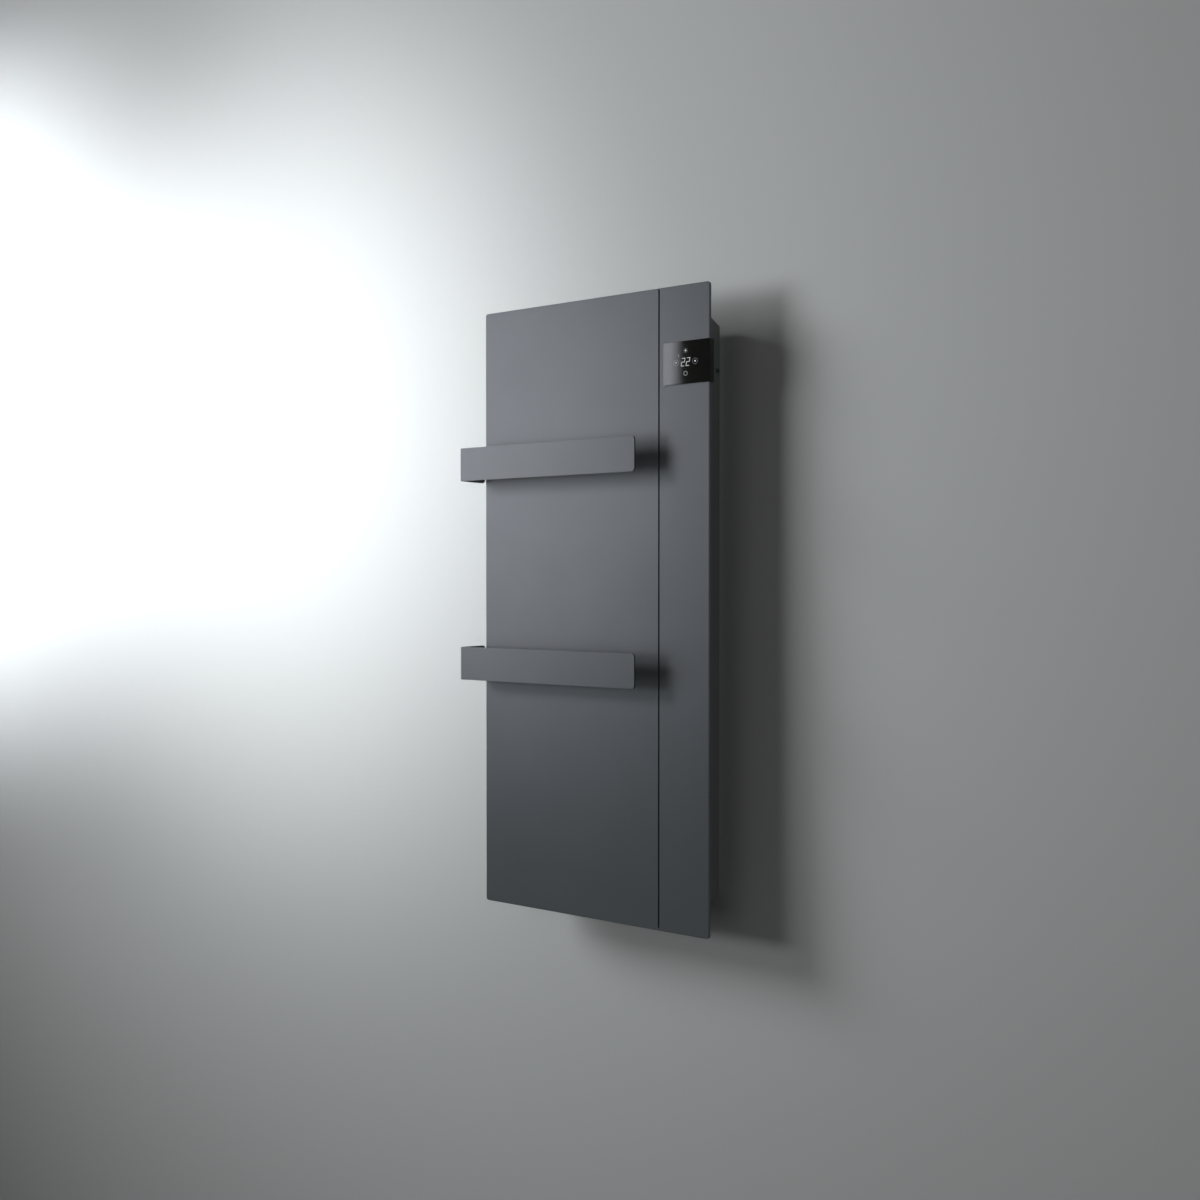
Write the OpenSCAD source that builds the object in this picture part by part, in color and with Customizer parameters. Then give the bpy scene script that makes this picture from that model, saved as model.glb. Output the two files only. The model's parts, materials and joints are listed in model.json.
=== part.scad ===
// Electric heated towel rail: a folded steel front panel with two towel bars, a heating core
// behind it, a vented rear casing that carries the controls, and a bracket on the wall.
// Origin: the middle of the four wall fixings, on the wall. X to the right, Y into the wall, Z up.

/* [Front panel] */
// Width of the front panel
panel_w = 480; // [440:5:560]
// Height of the front panel
panel_h = 1100; // [1060:10:1300]
// Thickness of the panel's steel sheet
panel_t = 1.5; // [1:0.1:2]
// Depth of the rim folded back round the panel
fold_d = 6; // [5:0.5:9]
// Radius of the panel's four corners, seen from the front
panel_r = 5; // [4:0.5:8]
// Outside radius of the fold along the panel's front edges
bend_r = 2; // [1.6:0.1:2.6]
// Width of the dark slot down the panel
slot_w = 3; // [2:0.5:5]
// Distance from the slot's middle to the panel's right edge
slot_inset = 98.5; // [96:0.5:110]
// Steel left below the slot's lower end
slot_bridge = 5; // [4:0.5:12]

/* [Towel bars] */
// Height of each bar's strip
bar_h = 60; // [50:1:70]
// Thickness of the bar's steel strip
bar_t = 3; // [2.5:0.1:4]
// Distance from the panel's face to the bar's front face
bar_reach = 70; // [50:1:90]
// Distance from the bar's free end to the panel's right edge
bar_end_inset = 103; // [101:1:140]
// Radius of the bar's corners at both of its ends
bar_corner_r = 7; // [3:0.5:10]
// Outside radius of the bar's bends
bar_bend_r = 4; // [3.8:0.1:5]
// Air between the bar's return and the panel's left edge
bar_side_gap = 0.9; // [0.5:0.1:2]
// Height of the tongue that runs on behind the panel
tongue_h = 36; // [32:1:44]
// Height of the upper bar's middle above the panel's middle
upper_bar_z = 263.5; // [220:0.5:280]
// Height of the lower bar's middle, below the panel's middle
lower_bar_z = -100; // [-140:1:-60]

/* [Rear casing] */
// Depth from the panel's face to the casing's back
body_depth = 87.5; // [84:0.5:110]
// Air gap between the casing's back and the wall
wall_gap = 12.5; // [12.5:0.5:20]
// Inset of the casing's sides from the panel's edges
casing_inset = 28; // [26:0.5:32]
// Inset of the casing's ends from the panel's top and bottom
casing_end = 28; // [26:0.5:34]
// How much each end of the casing slopes in towards the wall
casing_taper = 32.5; // [20:0.5:40]
// Thickness of the casing's steel sheet
casing_t = 1.2; // [0.8:0.1:1.5]
// Outside radius of the casing's two upright rear edges
casing_r = 3; // [2:0.5:5]
// Width of the flange turned out round the casing's mouth
flange_w = 16; // [14:0.5:18]
// Length of a vent slot
vent_l = 44; // [30:1:50]
// Width of a vent slot
vent_w = 5; // [3:0.5:6]
// Spacing of the vent slots
vent_pitch = 12; // [10:0.5:16]

/* [Heating core] */
// Radius of the heating cable
cable_r = 2.5; // [2:0.1:2.8]
// Spacing of the cable's upright runs
run_pitch = 40; // [34:1:44]
// Distance from the partition's end back to the diffuser plate's end
core_end = 33.5; // [33:0.5:60]
// Thickness of the diffuser plate
diffuser_t = 1; // [0.8:0.1:1.5]
// Thickness of the insulation board
board_t = 20; // [12:1:24]
// Thickness of the heat shield's sheet
shield_t = 0.8; // [0.6:0.1:1.2]
// Radius of a limit thermostat
thermostat_r = 8; // [6:0.5:9]

/* [Controls] */
// Width of the control's glass
control_w = 90.5; // [84:0.5:92]
// Height of the control's glass
control_h = 72; // [64:0.5:76]
// Distance from the panel's top down to the control's middle
control_drop = 131.5; // [126:0.5:142]
// How far the glass stands in front of the panel
control_proud = 3.5; // [3:0.1:5]
// How far the control wraps past the panel's right edge
control_wrap = 2.5; // [2:0.1:3]
// How far the control reaches behind the panel's face
control_back = 11; // [10:0.1:14]
// Thickness of the glass
glass_t = 2; // [1.2:0.1:2.4]
// Height of the power board
power_h = 135; // [120:1:140]
// Depth of the power board
power_d = 66; // [60:1:68]
// Distance between the power board and the partition
pillar_l = 8; // [6:0.5:10]

/* [Side switch] */
// Length of the switch's bezel, front to back
switch_l = 15; // [15:0.5:18]
// Height of the switch's bezel
switch_w = 10.5; // [10.5:0.5:12]
// Distance from the panel's top down to the switch's middle
switch_drop = 137; // [126:1:145]
// Distance from the casing's back to the switch's middle
switch_back = 11.5; // [11:0.5:16]
// Full travel of the rocker key, in degrees
rocker_travel = 16; // [10:1:20]

/* [Cable entry] */
// Bore of the gland for the mains cable
gland_bore_r = 3.6; // [3:0.1:4.5]
// Length of the gland's bore
gland_l = 30; // [26:1:36]
// Distance from the gland's axis to the panel's right edge
gland_inset = 82; // [80:1:86]

/* [Wall bracket] */
// Distance between the wall fixings, side to side
fixing_dx = 240; // [220:5:260]
// Distance between the wall fixings, up and down
fixing_dz = 700; // [640:10:740]
// Radius of a wall fixing hole
fixing_r = 4; // [3:0.25:5]
// Thickness of the bracket's steel
bracket_t = 2; // [1.5:0.1:2.5]
// Height of the bracket's two cross rails
rail_h = 40; // [30:1:50]
// Width of the bracket's two uprights
upright_w = 36; // [30:1:40]
// Distance between the middles of the two uprights
upright_dx = 150; // [130:5:160]
// Distance between the upper and the lower hooks
hook_dz = 600; // [500:10:620]
// Width of a hook
hook_w = 20; // [14:1:22]
// Height of a hook's upturned lip
hook_lip = 12; // [8:1:16]
// Radius of a lock's barrel
lock_r = 3.5; // [3:0.25:3.75]
// Radial clearance of the lock's barrel in its hole
lock_clearance = 0.05; // [0.02:0.01:0.1]

/* [Hidden] */
$fn = 32;

// Colours, as the finished pieces look
graphite = [0.30, 0.32, 0.35];
dark_graphite = [0.22, 0.23, 0.25];
black = [0.05, 0.05, 0.06];
steel = [0.70, 0.71, 0.72];
aluminium = [0.80, 0.81, 0.83];
white = [0.90, 0.90, 0.88];

// Depths, counted back from the wall
front_y = -(wall_gap + body_depth);
back_y = front_y + panel_t;
casing_back_y = -wall_gap;
casing_inner_y = casing_back_y - casing_t;
// Small gap that keeps fitted pieces from touching
fit = 0.3;
// How far a cutter runs past the face that it cuts
past = 1;

// Casing sizes that follow the panel
casing_w = panel_w - 2 * casing_inset;
casing_h = panel_h - 2 * casing_end;
taper_slope = casing_taper / (casing_back_y - back_y);
taper_angle = atan(taper_slope);
end_wall = casing_t / cos(taper_angle);
function end_z(y) = casing_h / 2 - (y - back_y) * taper_slope;

// The slot and the zone behind it
slot_x = panel_w / 2 - slot_inset;
control_z = panel_h / 2 - control_drop;
switch_z = panel_h / 2 - switch_drop;
insert_w = 12;
insert_t = 1.5;
zone_left = -casing_w / 2 + 7;
zone_right = slot_x - 16.5;
zone_w = zone_right - zone_left;
zone_x = (zone_left + zone_right) / 2;

// Heights of the heating core and of the partition beside it
partition_half = casing_h / 2 - casing_taper - 6;
diffuser_h = 2 * (partition_half - core_end);
insulation_h = 2 * (partition_half + 4.5);

// Cable runs: an even number, so that both ends come out at the top
run_edge = 10;
run_count = 2 * floor((zone_w - run_edge) / (2 * run_pitch));
function run_x(i) = zone_x + (i - (run_count - 1) / 2) * run_pitch;
diffuser_back_y = back_y + diffuser_t;
channel_floor = 0.6;
channel_w = 2 * cable_r + 4;
groove_r = cable_r + 0.1;
cable_y = diffuser_back_y + channel_floor + groove_r;
channel_top_y = cable_y + cable_r + 0.5;
channel_mouth = 1.5 * cable_r;
cable_tail = 8;
crimp_l = 8;
insulation_y = channel_top_y;
insulation_back_y = insulation_y + board_t;
shield_back_y = insulation_back_y + shield_t;
shield_gap = 0.5;
shield_right = zone_right + shield_gap + shield_t;

// Small studs and nuts
stud_r = 2;
stud_hole_r = 2.3;
nut_af = 7;
nut_t = 3.2;
nut_r = nut_af / sqrt(3);
nut_bore_r = 2.05;
stud_l = 10;

// Bar feet, behind the panel's left edge
foot_y = front_y + fold_d + 0.5;
bar_left = -panel_w / 2 - bar_side_gap - bar_t;
anchor_left = -panel_w / 2 + panel_t + 1.5;
anchor_w = 20;
bar_right = panel_w / 2 - bar_end_inset;
foot_x = anchor_left + anchor_w / 2;
foot_screw_dz = 10;
foot_screw_r = 2.5;
foot_head_r = 4.75;
foot_head_t = 3;
bars = [upper_bar_z, lower_bar_z];

// Studs round the casing's flange
side_stud_x = casing_w / 2 + flange_w / 2;
end_stud_z = casing_h / 2 + flange_w / 2;
stud_end_inset = 32;
last_stud_z = casing_h / 2 - stud_end_inset;
side_stud_zs = [-last_stud_z, (lower_bar_z - last_stud_z) / 2, (lower_bar_z + upper_bar_z) / 2,
    (upper_bar_z + control_z) / 2, last_stud_z];
end_stud_xs = [-130, 60];

// Studs that hold the heat shield stand between the cable's runs
shield_stud_xs = [(run_x(0) + run_x(1)) / 2, (run_x(run_count - 2) + run_x(run_count - 1)) / 2];
last_shield_stud_z = diffuser_h / 2 - 70;
shield_stud_zs = [-last_shield_stud_z, 0, last_shield_stud_z];
shield_stud_l = shield_back_y - back_y + 6;

// Thermostats, between the two middle runs
low_thermostat_up = 290;
high_thermostat_down = 130;
thermostat_zs = [low_thermostat_up - diffuser_h / 2, diffuser_h / 2 - high_thermostat_down];
thermostat_cap_t = 3;
thermostat_t = 11;
thermostat_tab_l = 7;
thermostat_tab_dx = 3.5;

// Partition between the heating core and the controls
partition_t = 1;
partition_x = slot_x - 8.5;
partition_face = partition_x + partition_t;
partition_front_y = back_y + insert_t + fit;
partition_flange = 14;
last_partition_screw_z = partition_half - 43.5;
partition_screw_zs = [-last_partition_screw_z, 0, last_partition_screw_z];
lead_hole_y = -60;
lead_hole_z = diffuser_h / 2 + cable_tail + crimp_l + 8;
lead_hole_r = 6;

// Control, in a notch cut into the panel's right edge
control_right = panel_w / 2 + control_wrap;
control_left = control_right - control_w;
control_front_y = front_y - control_proud;
glass_back_y = control_front_y + glass_t;
control_back_y = front_y + control_back;
notch_lap = 6;
notch_left = control_left + notch_lap;
notch_h = control_h - 2 * notch_lap + 0.5;
housing_wall = 2;
cheek_x = panel_w / 2 + fit;
cavity_left = notch_left + fit + housing_wall;
cavity_right = panel_w / 2 - 4;
cavity_h = notch_h - 2 * fit - 2 * housing_wall;
cavity_y = control_back_y - housing_wall;
display_board_t = 1.6;
display_front_y = glass_back_y + 2.9;
display_back_y = display_front_y + display_board_t;
display_x = control_left + 45;
display_z = control_z + 2;
module_w = 26;
module_h = 18;
key_offsets = [[-19, 0], [19, 0], [0, 20], [0, -20]];
key_spring_r = 3;
lead_port_x = display_x - 18;
lead_port_z = control_z - 18;
lead_port_r = 3;
display_lead_r = 1.6;

// Power board on the partition, below the control
power_x = partition_face + pillar_l;
power_t = 1.6;
power_face = power_x + power_t;
power_back_y = casing_inner_y - 9;
power_front_y = power_back_y - power_d;
power_top = control_z - control_h / 2 - 14;
power_bottom = power_top - power_h;
pillar_inset = 5;
pillar_r = 3;
board_screw_r = 1.5;

// Parts on the power board: their places from its lower edge, and how far they stand out
relay_up = 14;
relay_h = 15.5;
relay_w = 19;
relay_out = 16;
transformer_up = 62;
transformer_w = 32;
transformer_h = 24;
transformer_out = 24;
core_t = 4;
capacitor_r = 5;
capacitor_l = 20;
capacitor_pitch = 14;
capacitor_up = 20;
capacitor_count = 3;

// Plugs on the power board, one for each lead
plug_size = 10;
plug_out = 8;
plug_pitch = 14;
plug_up = 39;
plug_count = 4;
plug_x = power_face + plug_out;
plug_y = power_back_y - 9;
function plug_z(i) = power_bottom + plug_up + i * plug_pitch;
display_plug_y = control_back_y + 9;
display_plug_z = power_top - 16;
sensor_plug_z = power_bottom + 6;
sensor_plug_size = 8;

// Side switch
switch_y = casing_back_y - switch_back;
switch_x = casing_w / 2;
bezel_t = 1.2;
switch_wall = 0.8;
switch_body_l = switch_l - 1.6;
switch_body_w = switch_w - 1.5;
switch_depth = 14;
cavity_l = switch_body_l - 2 * switch_wall;
cavity_w = switch_body_w - 2 * switch_wall;
key_l = cavity_l - 1.2;
key_w = cavity_w - 0.3;
switch_tab_l = 5;
switch_tab_dz = 3.4;
switch_tab_x = switch_x - switch_depth - switch_tab_l;
pivot_in = 1.2;
trunnion_r = 0.9;
trunnion_clearance = 0.05;

// Cable gland in the sloping lower end
gland_x = panel_w / 2 - gland_inset;
gland_thread_r = 8;
gland_hole_r = 8.2;
gland_af = 20;
gland_nut_af = 22;
gland_nut_t = 5;
slope_mid_y = (back_y + casing_back_y) / 2;
gland_shift = -12;

// Room sensor on the sloping lower end
sensor_x = casing_w / 2 - 26;
sensor_along = 12;
sensor_y = slope_mid_y + sensor_along * cos(taper_angle) - casing_t * sin(taper_angle);
sensor_z = end_wall - end_z(sensor_y);
sensor_foot_z = sensor_z + 4;
sensor_r = 2;
sensor_l = 16;
sensor_lead_r = 1;
clip_half = 5;
clip_top = 9;

// Terminal block low on the partition
terminal_up = 83.5;
terminal_z = terminal_up - partition_half;
terminal_h = 20;
terminal_y = -62;
terminal_depth = 15;
pole_pitch = 10;
pole_count = 3;
pole_r = 2;
pole_dz = 5;
pole_entry = 2;
lead_r = 1.4;
lead_bend = 4;
lead_x = partition_face + 6;
function pole_y(i) = terminal_y + (i - (pole_count - 1) / 2) * pole_pitch;

// Clips that hold the middle lead on its way up to the power board
clip_count = 3;
clip_pitch = (power_bottom - terminal_z) / (clip_count + 1);
clip_w = 8;
clip_wall = 2;

// Earth stud on the panel's back
earth_x = slot_x + 50;
earth_z = terminal_z + 70;
earth_turn_z = terminal_z + 36;
earth_lead_y = back_y + insert_t + fit + lead_r;
lug_r = 4.5;
lug_t = 1;
lug_l = 12;

// Bracket
rail_l = fixing_dx + 50;
upright_h = fixing_dz + 2 * rail_h / 2 + 30;
upright_half = upright_h / 2;
web_y = casing_back_y;
hook_reach = 6;
hook_slot_w = hook_w + 4;
hook_slot_h = hook_lip + 6;
lock_y = -(wall_gap - bracket_t) / 2 - 0.1;
lock_x = upright_dx / 2;
lock_head_r = lock_r + 0.9;
lock_head_t = 4;
lock_cap_t = 2;
wing_t = 3;
wing_w = 6;
wing_past = 5.5;
wing_l = lock_y - casing_back_y + wing_past;
lock_play = 0.3;
lug_z = -upright_half;
wing_top = lug_z - lock_play;

// Rubber buffers at the casing's lower corners
buffer_inset = 42;
buffer_up = 40;
buffer_x = casing_w / 2 - buffer_inset;
buffer_z = -(casing_h / 2 - casing_taper - buffer_up);
buffer_r = 10;
buffer_stem_r = 3;

// A block between two corners
module block(x, y, z) {
    translate([x[0], y[0], z[0]]) cube([x[1] - x[0], y[1] - y[0], z[1] - z[0]]);
}

// Round bars along each axis
module rod_x(x, y, z, r) {
    translate([x[0], y, z]) rotate([0, 90, 0]) cylinder(h = x[1] - x[0], r = r);
}
module rod_y(x, y, z, r) {
    translate([x, y[0], z]) rotate([-90, 0, 0]) cylinder(h = y[1] - y[0], r = r);
}
module rod_z(x, y, z, r) {
    translate([x, y, z[0]]) cylinder(h = z[1] - z[0], r = r);
}

// A flat outline drawn across X and Z, given depth along Y
module along_y(y) {
    translate([0, y[1], 0]) rotate([90, 0, 0]) linear_extrude(y[1] - y[0]) children();
}
// A flat outline drawn across Y and Z, given length along X
module along_x(x) {
    translate([x[0], 0, 0]) rotate([90, 0, 90]) linear_extrude(x[1] - x[0]) children();
}

module rounded_rect(w, h, r) {
    square([w - 2 * r, h], center = true);
    square([w, h - 2 * r], center = true);
    for (i = [-1, 1], j = [-1, 1])
        translate([i * (w / 2 - r), j * (h / 2 - r)]) circle(r);
}

// A slot with round ends, standing along the second axis
module round_slot(w, l) {
    square([w, l - w], center = true);
    for (j = [-1, 1]) translate([0, j * (l - w) / 2]) circle(w / 2);
}

// Hexagonal nut or head along Y with its flats up and down
module hex_y(x, y, z, af) {
    translate([x, y[0], z]) rotate([-90, 0, 0]) cylinder(h = y[1] - y[0], r = af / sqrt(3), $fn = 6);
}

function unit(v) = v / norm(v);

// Round wire through a list of corners, each bent to the same radius
module bent_wire(points, r, bend) {
    last = len(points) - 1;
    dirs = [for (i = [0 : last - 1]) unit(points[i + 1] - points[i])];
    turns = [for (i = [1 : last - 1]) acos(dirs[i - 1] * dirs[i])];
    setbacks = concat([0], [for (t = turns) bend * tan(t / 2)], [0]);
    for (i = [0 : last - 1]) {
        start = points[i] + dirs[i] * setbacks[i];
        straight = norm(points[i + 1] - points[i]) - setbacks[i] - setbacks[i + 1];
        translate(start) point_along(dirs[i]) cylinder(h = straight, r = r);
    }
    for (i = [1 : last - 1]) {
        before = dirs[i - 1];
        inward = unit(dirs[i] - before * (before * dirs[i]));
        side = cross(-inward, before);
        centre = points[i] - before * setbacks[i] + inward * bend;
        multmatrix([for (k = [0 : 2]) [-inward[k], before[k], side[k], centre[k]]])
            rotate_extrude(angle = turns[i - 1]) translate([bend, 0]) circle(r);
    }
}

// Turns the Z axis to a direction
module point_along(d) {
    rotate([0, acos(d[2]), atan2(d[1], d[0])]) children();
}

// Front panel: one sheet with a rim folded back all round
module rim_outline() {
    difference() {
        union() {
            square([panel_r - bend_r, fold_d]);
            translate([0, bend_r]) square([panel_r, fold_d - bend_r]);
            translate([panel_r - bend_r, bend_r]) circle(bend_r);
        }
        translate([-past, panel_t]) square([panel_r - panel_t + past, fold_d]);
    }
}
module panel_tray() {
    across = panel_w - 2 * panel_r;
    upright = panel_h - 2 * panel_r;
    along_y([front_y, back_y]) square([across, upright], center = true);
    for (side = [0, 1]) mirror([side, 0, 0]) {
        translate([across / 2, front_y, -upright / 2]) linear_extrude(upright) rim_outline();
        for (end = [0, 1]) mirror([0, 0, end])
            translate([across / 2, front_y, -upright / 2]) rotate([-90, 0, 0])
                rotate_extrude(angle = 90) rim_outline();
    }
    for (end = [0, 1]) mirror([0, 0, end])
        translate([across / 2, front_y, upright / 2]) rotate([0, -90, 0])
            linear_extrude(across) rim_outline();
}
module front_panel() {
    color(graphite) difference() {
        panel_tray();
        block([slot_x - slot_w / 2, slot_x + slot_w / 2], [front_y - past, front_y + fold_d + past],
            [-panel_h / 2 + slot_bridge, panel_h / 2 + past]);
        block([notch_left, panel_w / 2 + past], [front_y - past, front_y + fold_d + past],
            [control_z - notch_h / 2, control_z + notch_h / 2]);
    }
}

// Black strip behind the slot
module slot_insert() {
    color(black) block([slot_x - insert_w / 2, slot_x + insert_w / 2], [back_y, back_y + insert_t],
        [-panel_h / 2 + panel_t + fit, panel_h / 2 - panel_t - fit]);
}

// Towel bar: a strip bent back at its left end, then in behind the panel
module bar_plan() {
    inner = bar_bend_r - bar_t;
    bar_front_y = front_y - bar_reach;
    return_y = bar_front_y + bar_bend_r;
    foot_bend_y = foot_y + bar_t - bar_bend_r;
    bend_x = bar_left + bar_bend_r;
    translate([bend_x, bar_front_y]) square([bar_right - bend_x, bar_t]);
    translate([bar_left, return_y]) square([bar_t, foot_bend_y - return_y]);
    translate([bend_x, foot_y]) square([anchor_left + anchor_w - bend_x, bar_t]);
    for (bend = [[return_y, -bar_bend_r], [foot_bend_y, 0]])
        translate([bend_x, bend[0]]) intersection() {
            difference() {
                circle(bar_bend_r);
                circle(inner);
            }
            translate([-bar_bend_r, bend[1]]) square(bar_bend_r);
        }
}
module towel_bar(z) {
    deep = bar_reach + 2 * bar_corner_r + bar_h;
    difference() {
        intersection() {
            translate([0, 0, z - bar_h / 2]) linear_extrude(bar_h) bar_plan();
            along_x([bar_left - past, bar_right + past]) union() {
                translate([front_y - deep / 2, z]) rounded_rect(deep, bar_h, bar_corner_r);
                translate([front_y - bar_h / 2, z - tongue_h / 2]) square([bar_h, tongue_h]);
            }
            along_y([front_y - bar_reach - past, 0])
                translate([bar_right - panel_w, z]) rounded_rect(2 * panel_w, bar_h, bar_corner_r);
        }
        for (i = [-1, 1])
            rod_y(foot_x, [foot_y - past, foot_y + bar_t + past], z + i * foot_screw_dz,
                foot_screw_r + fit);
    }
}
module upper_towel_bar() {
    color(graphite) towel_bar(upper_bar_z);
}
module lower_towel_bar() {
    color(graphite) towel_bar(lower_bar_z);
}

// Blocks welded behind the panel that the bars' feet are screwed to
module bar_anchors() {
    color(steel) for (z = bars) difference() {
        block([anchor_left, anchor_left + anchor_w], [back_y, foot_y],
            [z - tongue_h / 2, z + tongue_h / 2]);
        for (i = [-1, 1])
            rod_y(foot_x, [back_y - past, foot_y + past], z + i * foot_screw_dz, foot_screw_r + 0.05);
    }
}
module bar_screws() {
    color(steel) for (z = bars, i = [-1, 1]) difference() {
        union() {
            rod_y(foot_x, [back_y + fit, foot_y + bar_t + past], z + i * foot_screw_dz, foot_screw_r);
            rod_y(foot_x, [foot_y + bar_t, foot_y + bar_t + foot_head_t], z + i * foot_screw_dz,
                foot_head_r);
        }
        hex_y(foot_x, [foot_y + bar_t + 1, foot_y + bar_t + foot_head_t + past],
            z + i * foot_screw_dz, 3);
    }
}

// Rear casing: a deep tray with sloping, vented ends and a flange round its mouth
module casing_plan(shrink) {
    w = casing_w - 2 * shrink;
    r = casing_r - shrink;
    rear = casing_back_y - shrink;
    front = back_y - (shrink > 0 ? past : 0);
    translate([-w / 2, front]) square([w, rear - r - front]);
    translate([-w / 2 + r, front]) square([w - 2 * r, rear - front]);
    for (i = [-1, 1]) translate([i * (w / 2 - r), rear - r]) circle(r);
}
module casing_side(shrink) {
    drop = shrink > 0 ? end_wall : 0;
    front = back_y - (shrink > 0 ? past : 0);
    rear = casing_back_y - shrink;
    polygon([[front, end_z(front) - drop], [rear, end_z(rear) - drop],
        [rear, drop - end_z(rear)], [front, drop - end_z(front)]]);
}
module casing_form(shrink) {
    intersection() {
        translate([0, 0, -panel_h]) linear_extrude(2 * panel_h) casing_plan(shrink);
        along_x([-panel_w, panel_w]) casing_side(shrink);
    }
}
// Moves and tilts a piece onto the middle of the upper slope, with Z square to it
module on_slope(x, along) {
    y = slope_mid_y + along * cos(taper_angle);
    translate([x, y, end_z(y)]) rotate([-taper_angle, 0, 0]) children();
}
module vents() {
    vent_first = zone_left + vent_pitch;
    last = floor((zone_right - vent_first) / vent_pitch);
    on_slope(0, 0) translate([0, 0, -5]) linear_extrude(10) {
        for (i = [0 : last]) translate([vent_first + i * vent_pitch, 0]) round_slot(vent_w, vent_l);
        for (i = [-1, 1]) translate([sensor_x + i * vent_pitch, 0]) round_slot(vent_w, vent_l);
    }
}
module casing_flange() {
    along_y([back_y, back_y + casing_t]) difference() {
        rounded_rect(casing_w + 2 * flange_w, casing_h + 2 * flange_w, 4);
        square([casing_w - 2 * casing_t, casing_h - 2 * end_wall], center = true);
        for (i = [-1, 1], z = side_stud_zs) translate([i * side_stud_x, z]) circle(stud_hole_r);
        for (j = [-1, 1], x = end_stud_xs) translate([x, j * end_stud_z]) circle(stud_hole_r);
        for (z = bars) translate([-casing_w / 2 - flange_w, z])
            square([2 * flange_w - 2 * casing_t, tongue_h + 6], center = true);
    }
}
module lock_slot() {
    block([lock_x - wing_w / 2 - 1.5, lock_x + wing_l + 0.5], [casing_inner_y - past, past],
        [wing_top - wing_t - 1, wing_top + 1]);
}
module rear_casing() {
    color(dark_graphite) difference() {
        union() {
            difference() {
                casing_form(0);
                casing_form(casing_t);
            }
            casing_flange();
        }
        vents();
        mirror([0, 0, 1]) vents();
        block([slot_x - insert_w / 2 - 1, slot_x + insert_w / 2 + 1],
            [back_y - past, back_y + insert_t + fit], [-panel_h, panel_h]);
        block([casing_w / 2 - 3 * casing_r, panel_w], [back_y - past, control_back_y + 1],
            [control_z - notch_h / 2 - 4, control_z + notch_h / 2 + 4]);
        for (i = [-1, 1], z = [-hook_dz / 2, hook_dz / 2])
            block([i * lock_x - hook_slot_w / 2, i * lock_x + hook_slot_w / 2],
                [casing_inner_y - past, past], [z - hook_slot_h, z]);
        for (side = [0, 1]) mirror([side, 0, 0]) lock_slot();
        for (z = partition_screw_zs)
            rod_y(partition_face + partition_flange / 2, [casing_inner_y - past, past], z, 2.2);
        for (i = [-1, 1])
            rod_y(i * buffer_x, [casing_inner_y - past, past], buffer_z, buffer_stem_r + 0.1);
        block([switch_x - 2 * casing_t, switch_x + past],
            [switch_y - switch_body_l / 2 - 0.1, switch_y + switch_body_l / 2 + 0.1],
            [switch_z - switch_body_w / 2 - 0.1, switch_z + switch_body_w / 2 + 0.1]);
        mirror([0, 0, 1]) on_slope(gland_x, gland_shift)
            translate([0, 0, -5]) cylinder(h = 10, r = gland_hole_r);
    }
}

// Studs welded to the panel's back, and the nuts that hold the casing on them
module at_casing_studs() {
    for (i = [-1, 1], z = side_stud_zs) translate([i * side_stud_x, 0, z]) children();
    for (j = [-1, 1], x = end_stud_xs) translate([x, 0, j * end_stud_z]) children();
}
module panel_studs() {
    color(steel) at_casing_studs() rod_y(0, [back_y, back_y + stud_l], 0, stud_r);
}
module nut(y) {
    difference() {
        hex_y(0, [y, y + nut_t], 0, nut_af);
        rod_y(0, [y - past, y + nut_t + past], 0, nut_bore_r);
    }
}
module casing_nuts() {
    color(steel) at_casing_studs() nut(back_y + casing_t);
}

// Diffuser plate with a snap-in channel for each run of the cable
module diffuser_plate() {
    color(aluminium) difference() {
        union() {
            block([zone_left, zone_right], [back_y, diffuser_back_y], [-diffuser_h / 2, diffuser_h / 2]);
            for (i = [0 : run_count - 1])
                translate([run_x(i), 0, -diffuser_h / 2]) linear_extrude(diffuser_h) difference() {
                    translate([-channel_w / 2, diffuser_back_y])
                        square([channel_w, channel_top_y - diffuser_back_y]);
                    translate([0, cable_y]) circle(groove_r);
                    translate([-channel_mouth / 2, cable_y]) square([channel_mouth, 2 * cable_r]);
                }
        }
        for (x = shield_stud_xs, z = shield_stud_zs)
            rod_y(x, [back_y - past, diffuser_back_y + past], z, stud_r + 1);
    }
}

// Heating cable: upright runs joined by half-circle turns
module heating_cable() {
    half = diffuser_h / 2;
    color([0.75, 0.35, 0.20]) {
        for (i = [0 : run_count - 1]) {
            end = i == 0 || i == run_count - 1;
            rod_z(run_x(i), cable_y, [-half, half + (end ? cable_tail : 0)], cable_r);
        }
        for (i = [0 : run_count - 2])
            translate([(run_x(i) + run_x(i + 1)) / 2, cable_y, (i % 2 == 0 ? -1 : 1) * half])
                mirror([0, 0, i % 2 == 0 ? 1 : 0]) rotate([90, 0, 0])
                    rotate_extrude(angle = 180) translate([run_pitch / 2, 0]) circle(cable_r);
    }
}

module insulation_board() {
    color([0.86, 0.80, 0.62]) difference() {
        block([zone_left, zone_right], [insulation_y, insulation_back_y],
            [-insulation_h / 2, insulation_h / 2]);
        for (x = shield_stud_xs, z = shield_stud_zs)
            rod_y(x, [insulation_y - past, insulation_back_y + past], z, stud_r + 1);
        for (z = thermostat_zs)
            rod_y(zone_x, [insulation_y - past, insulation_back_y + past], z, thermostat_r + 3);
    }
}

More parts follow.
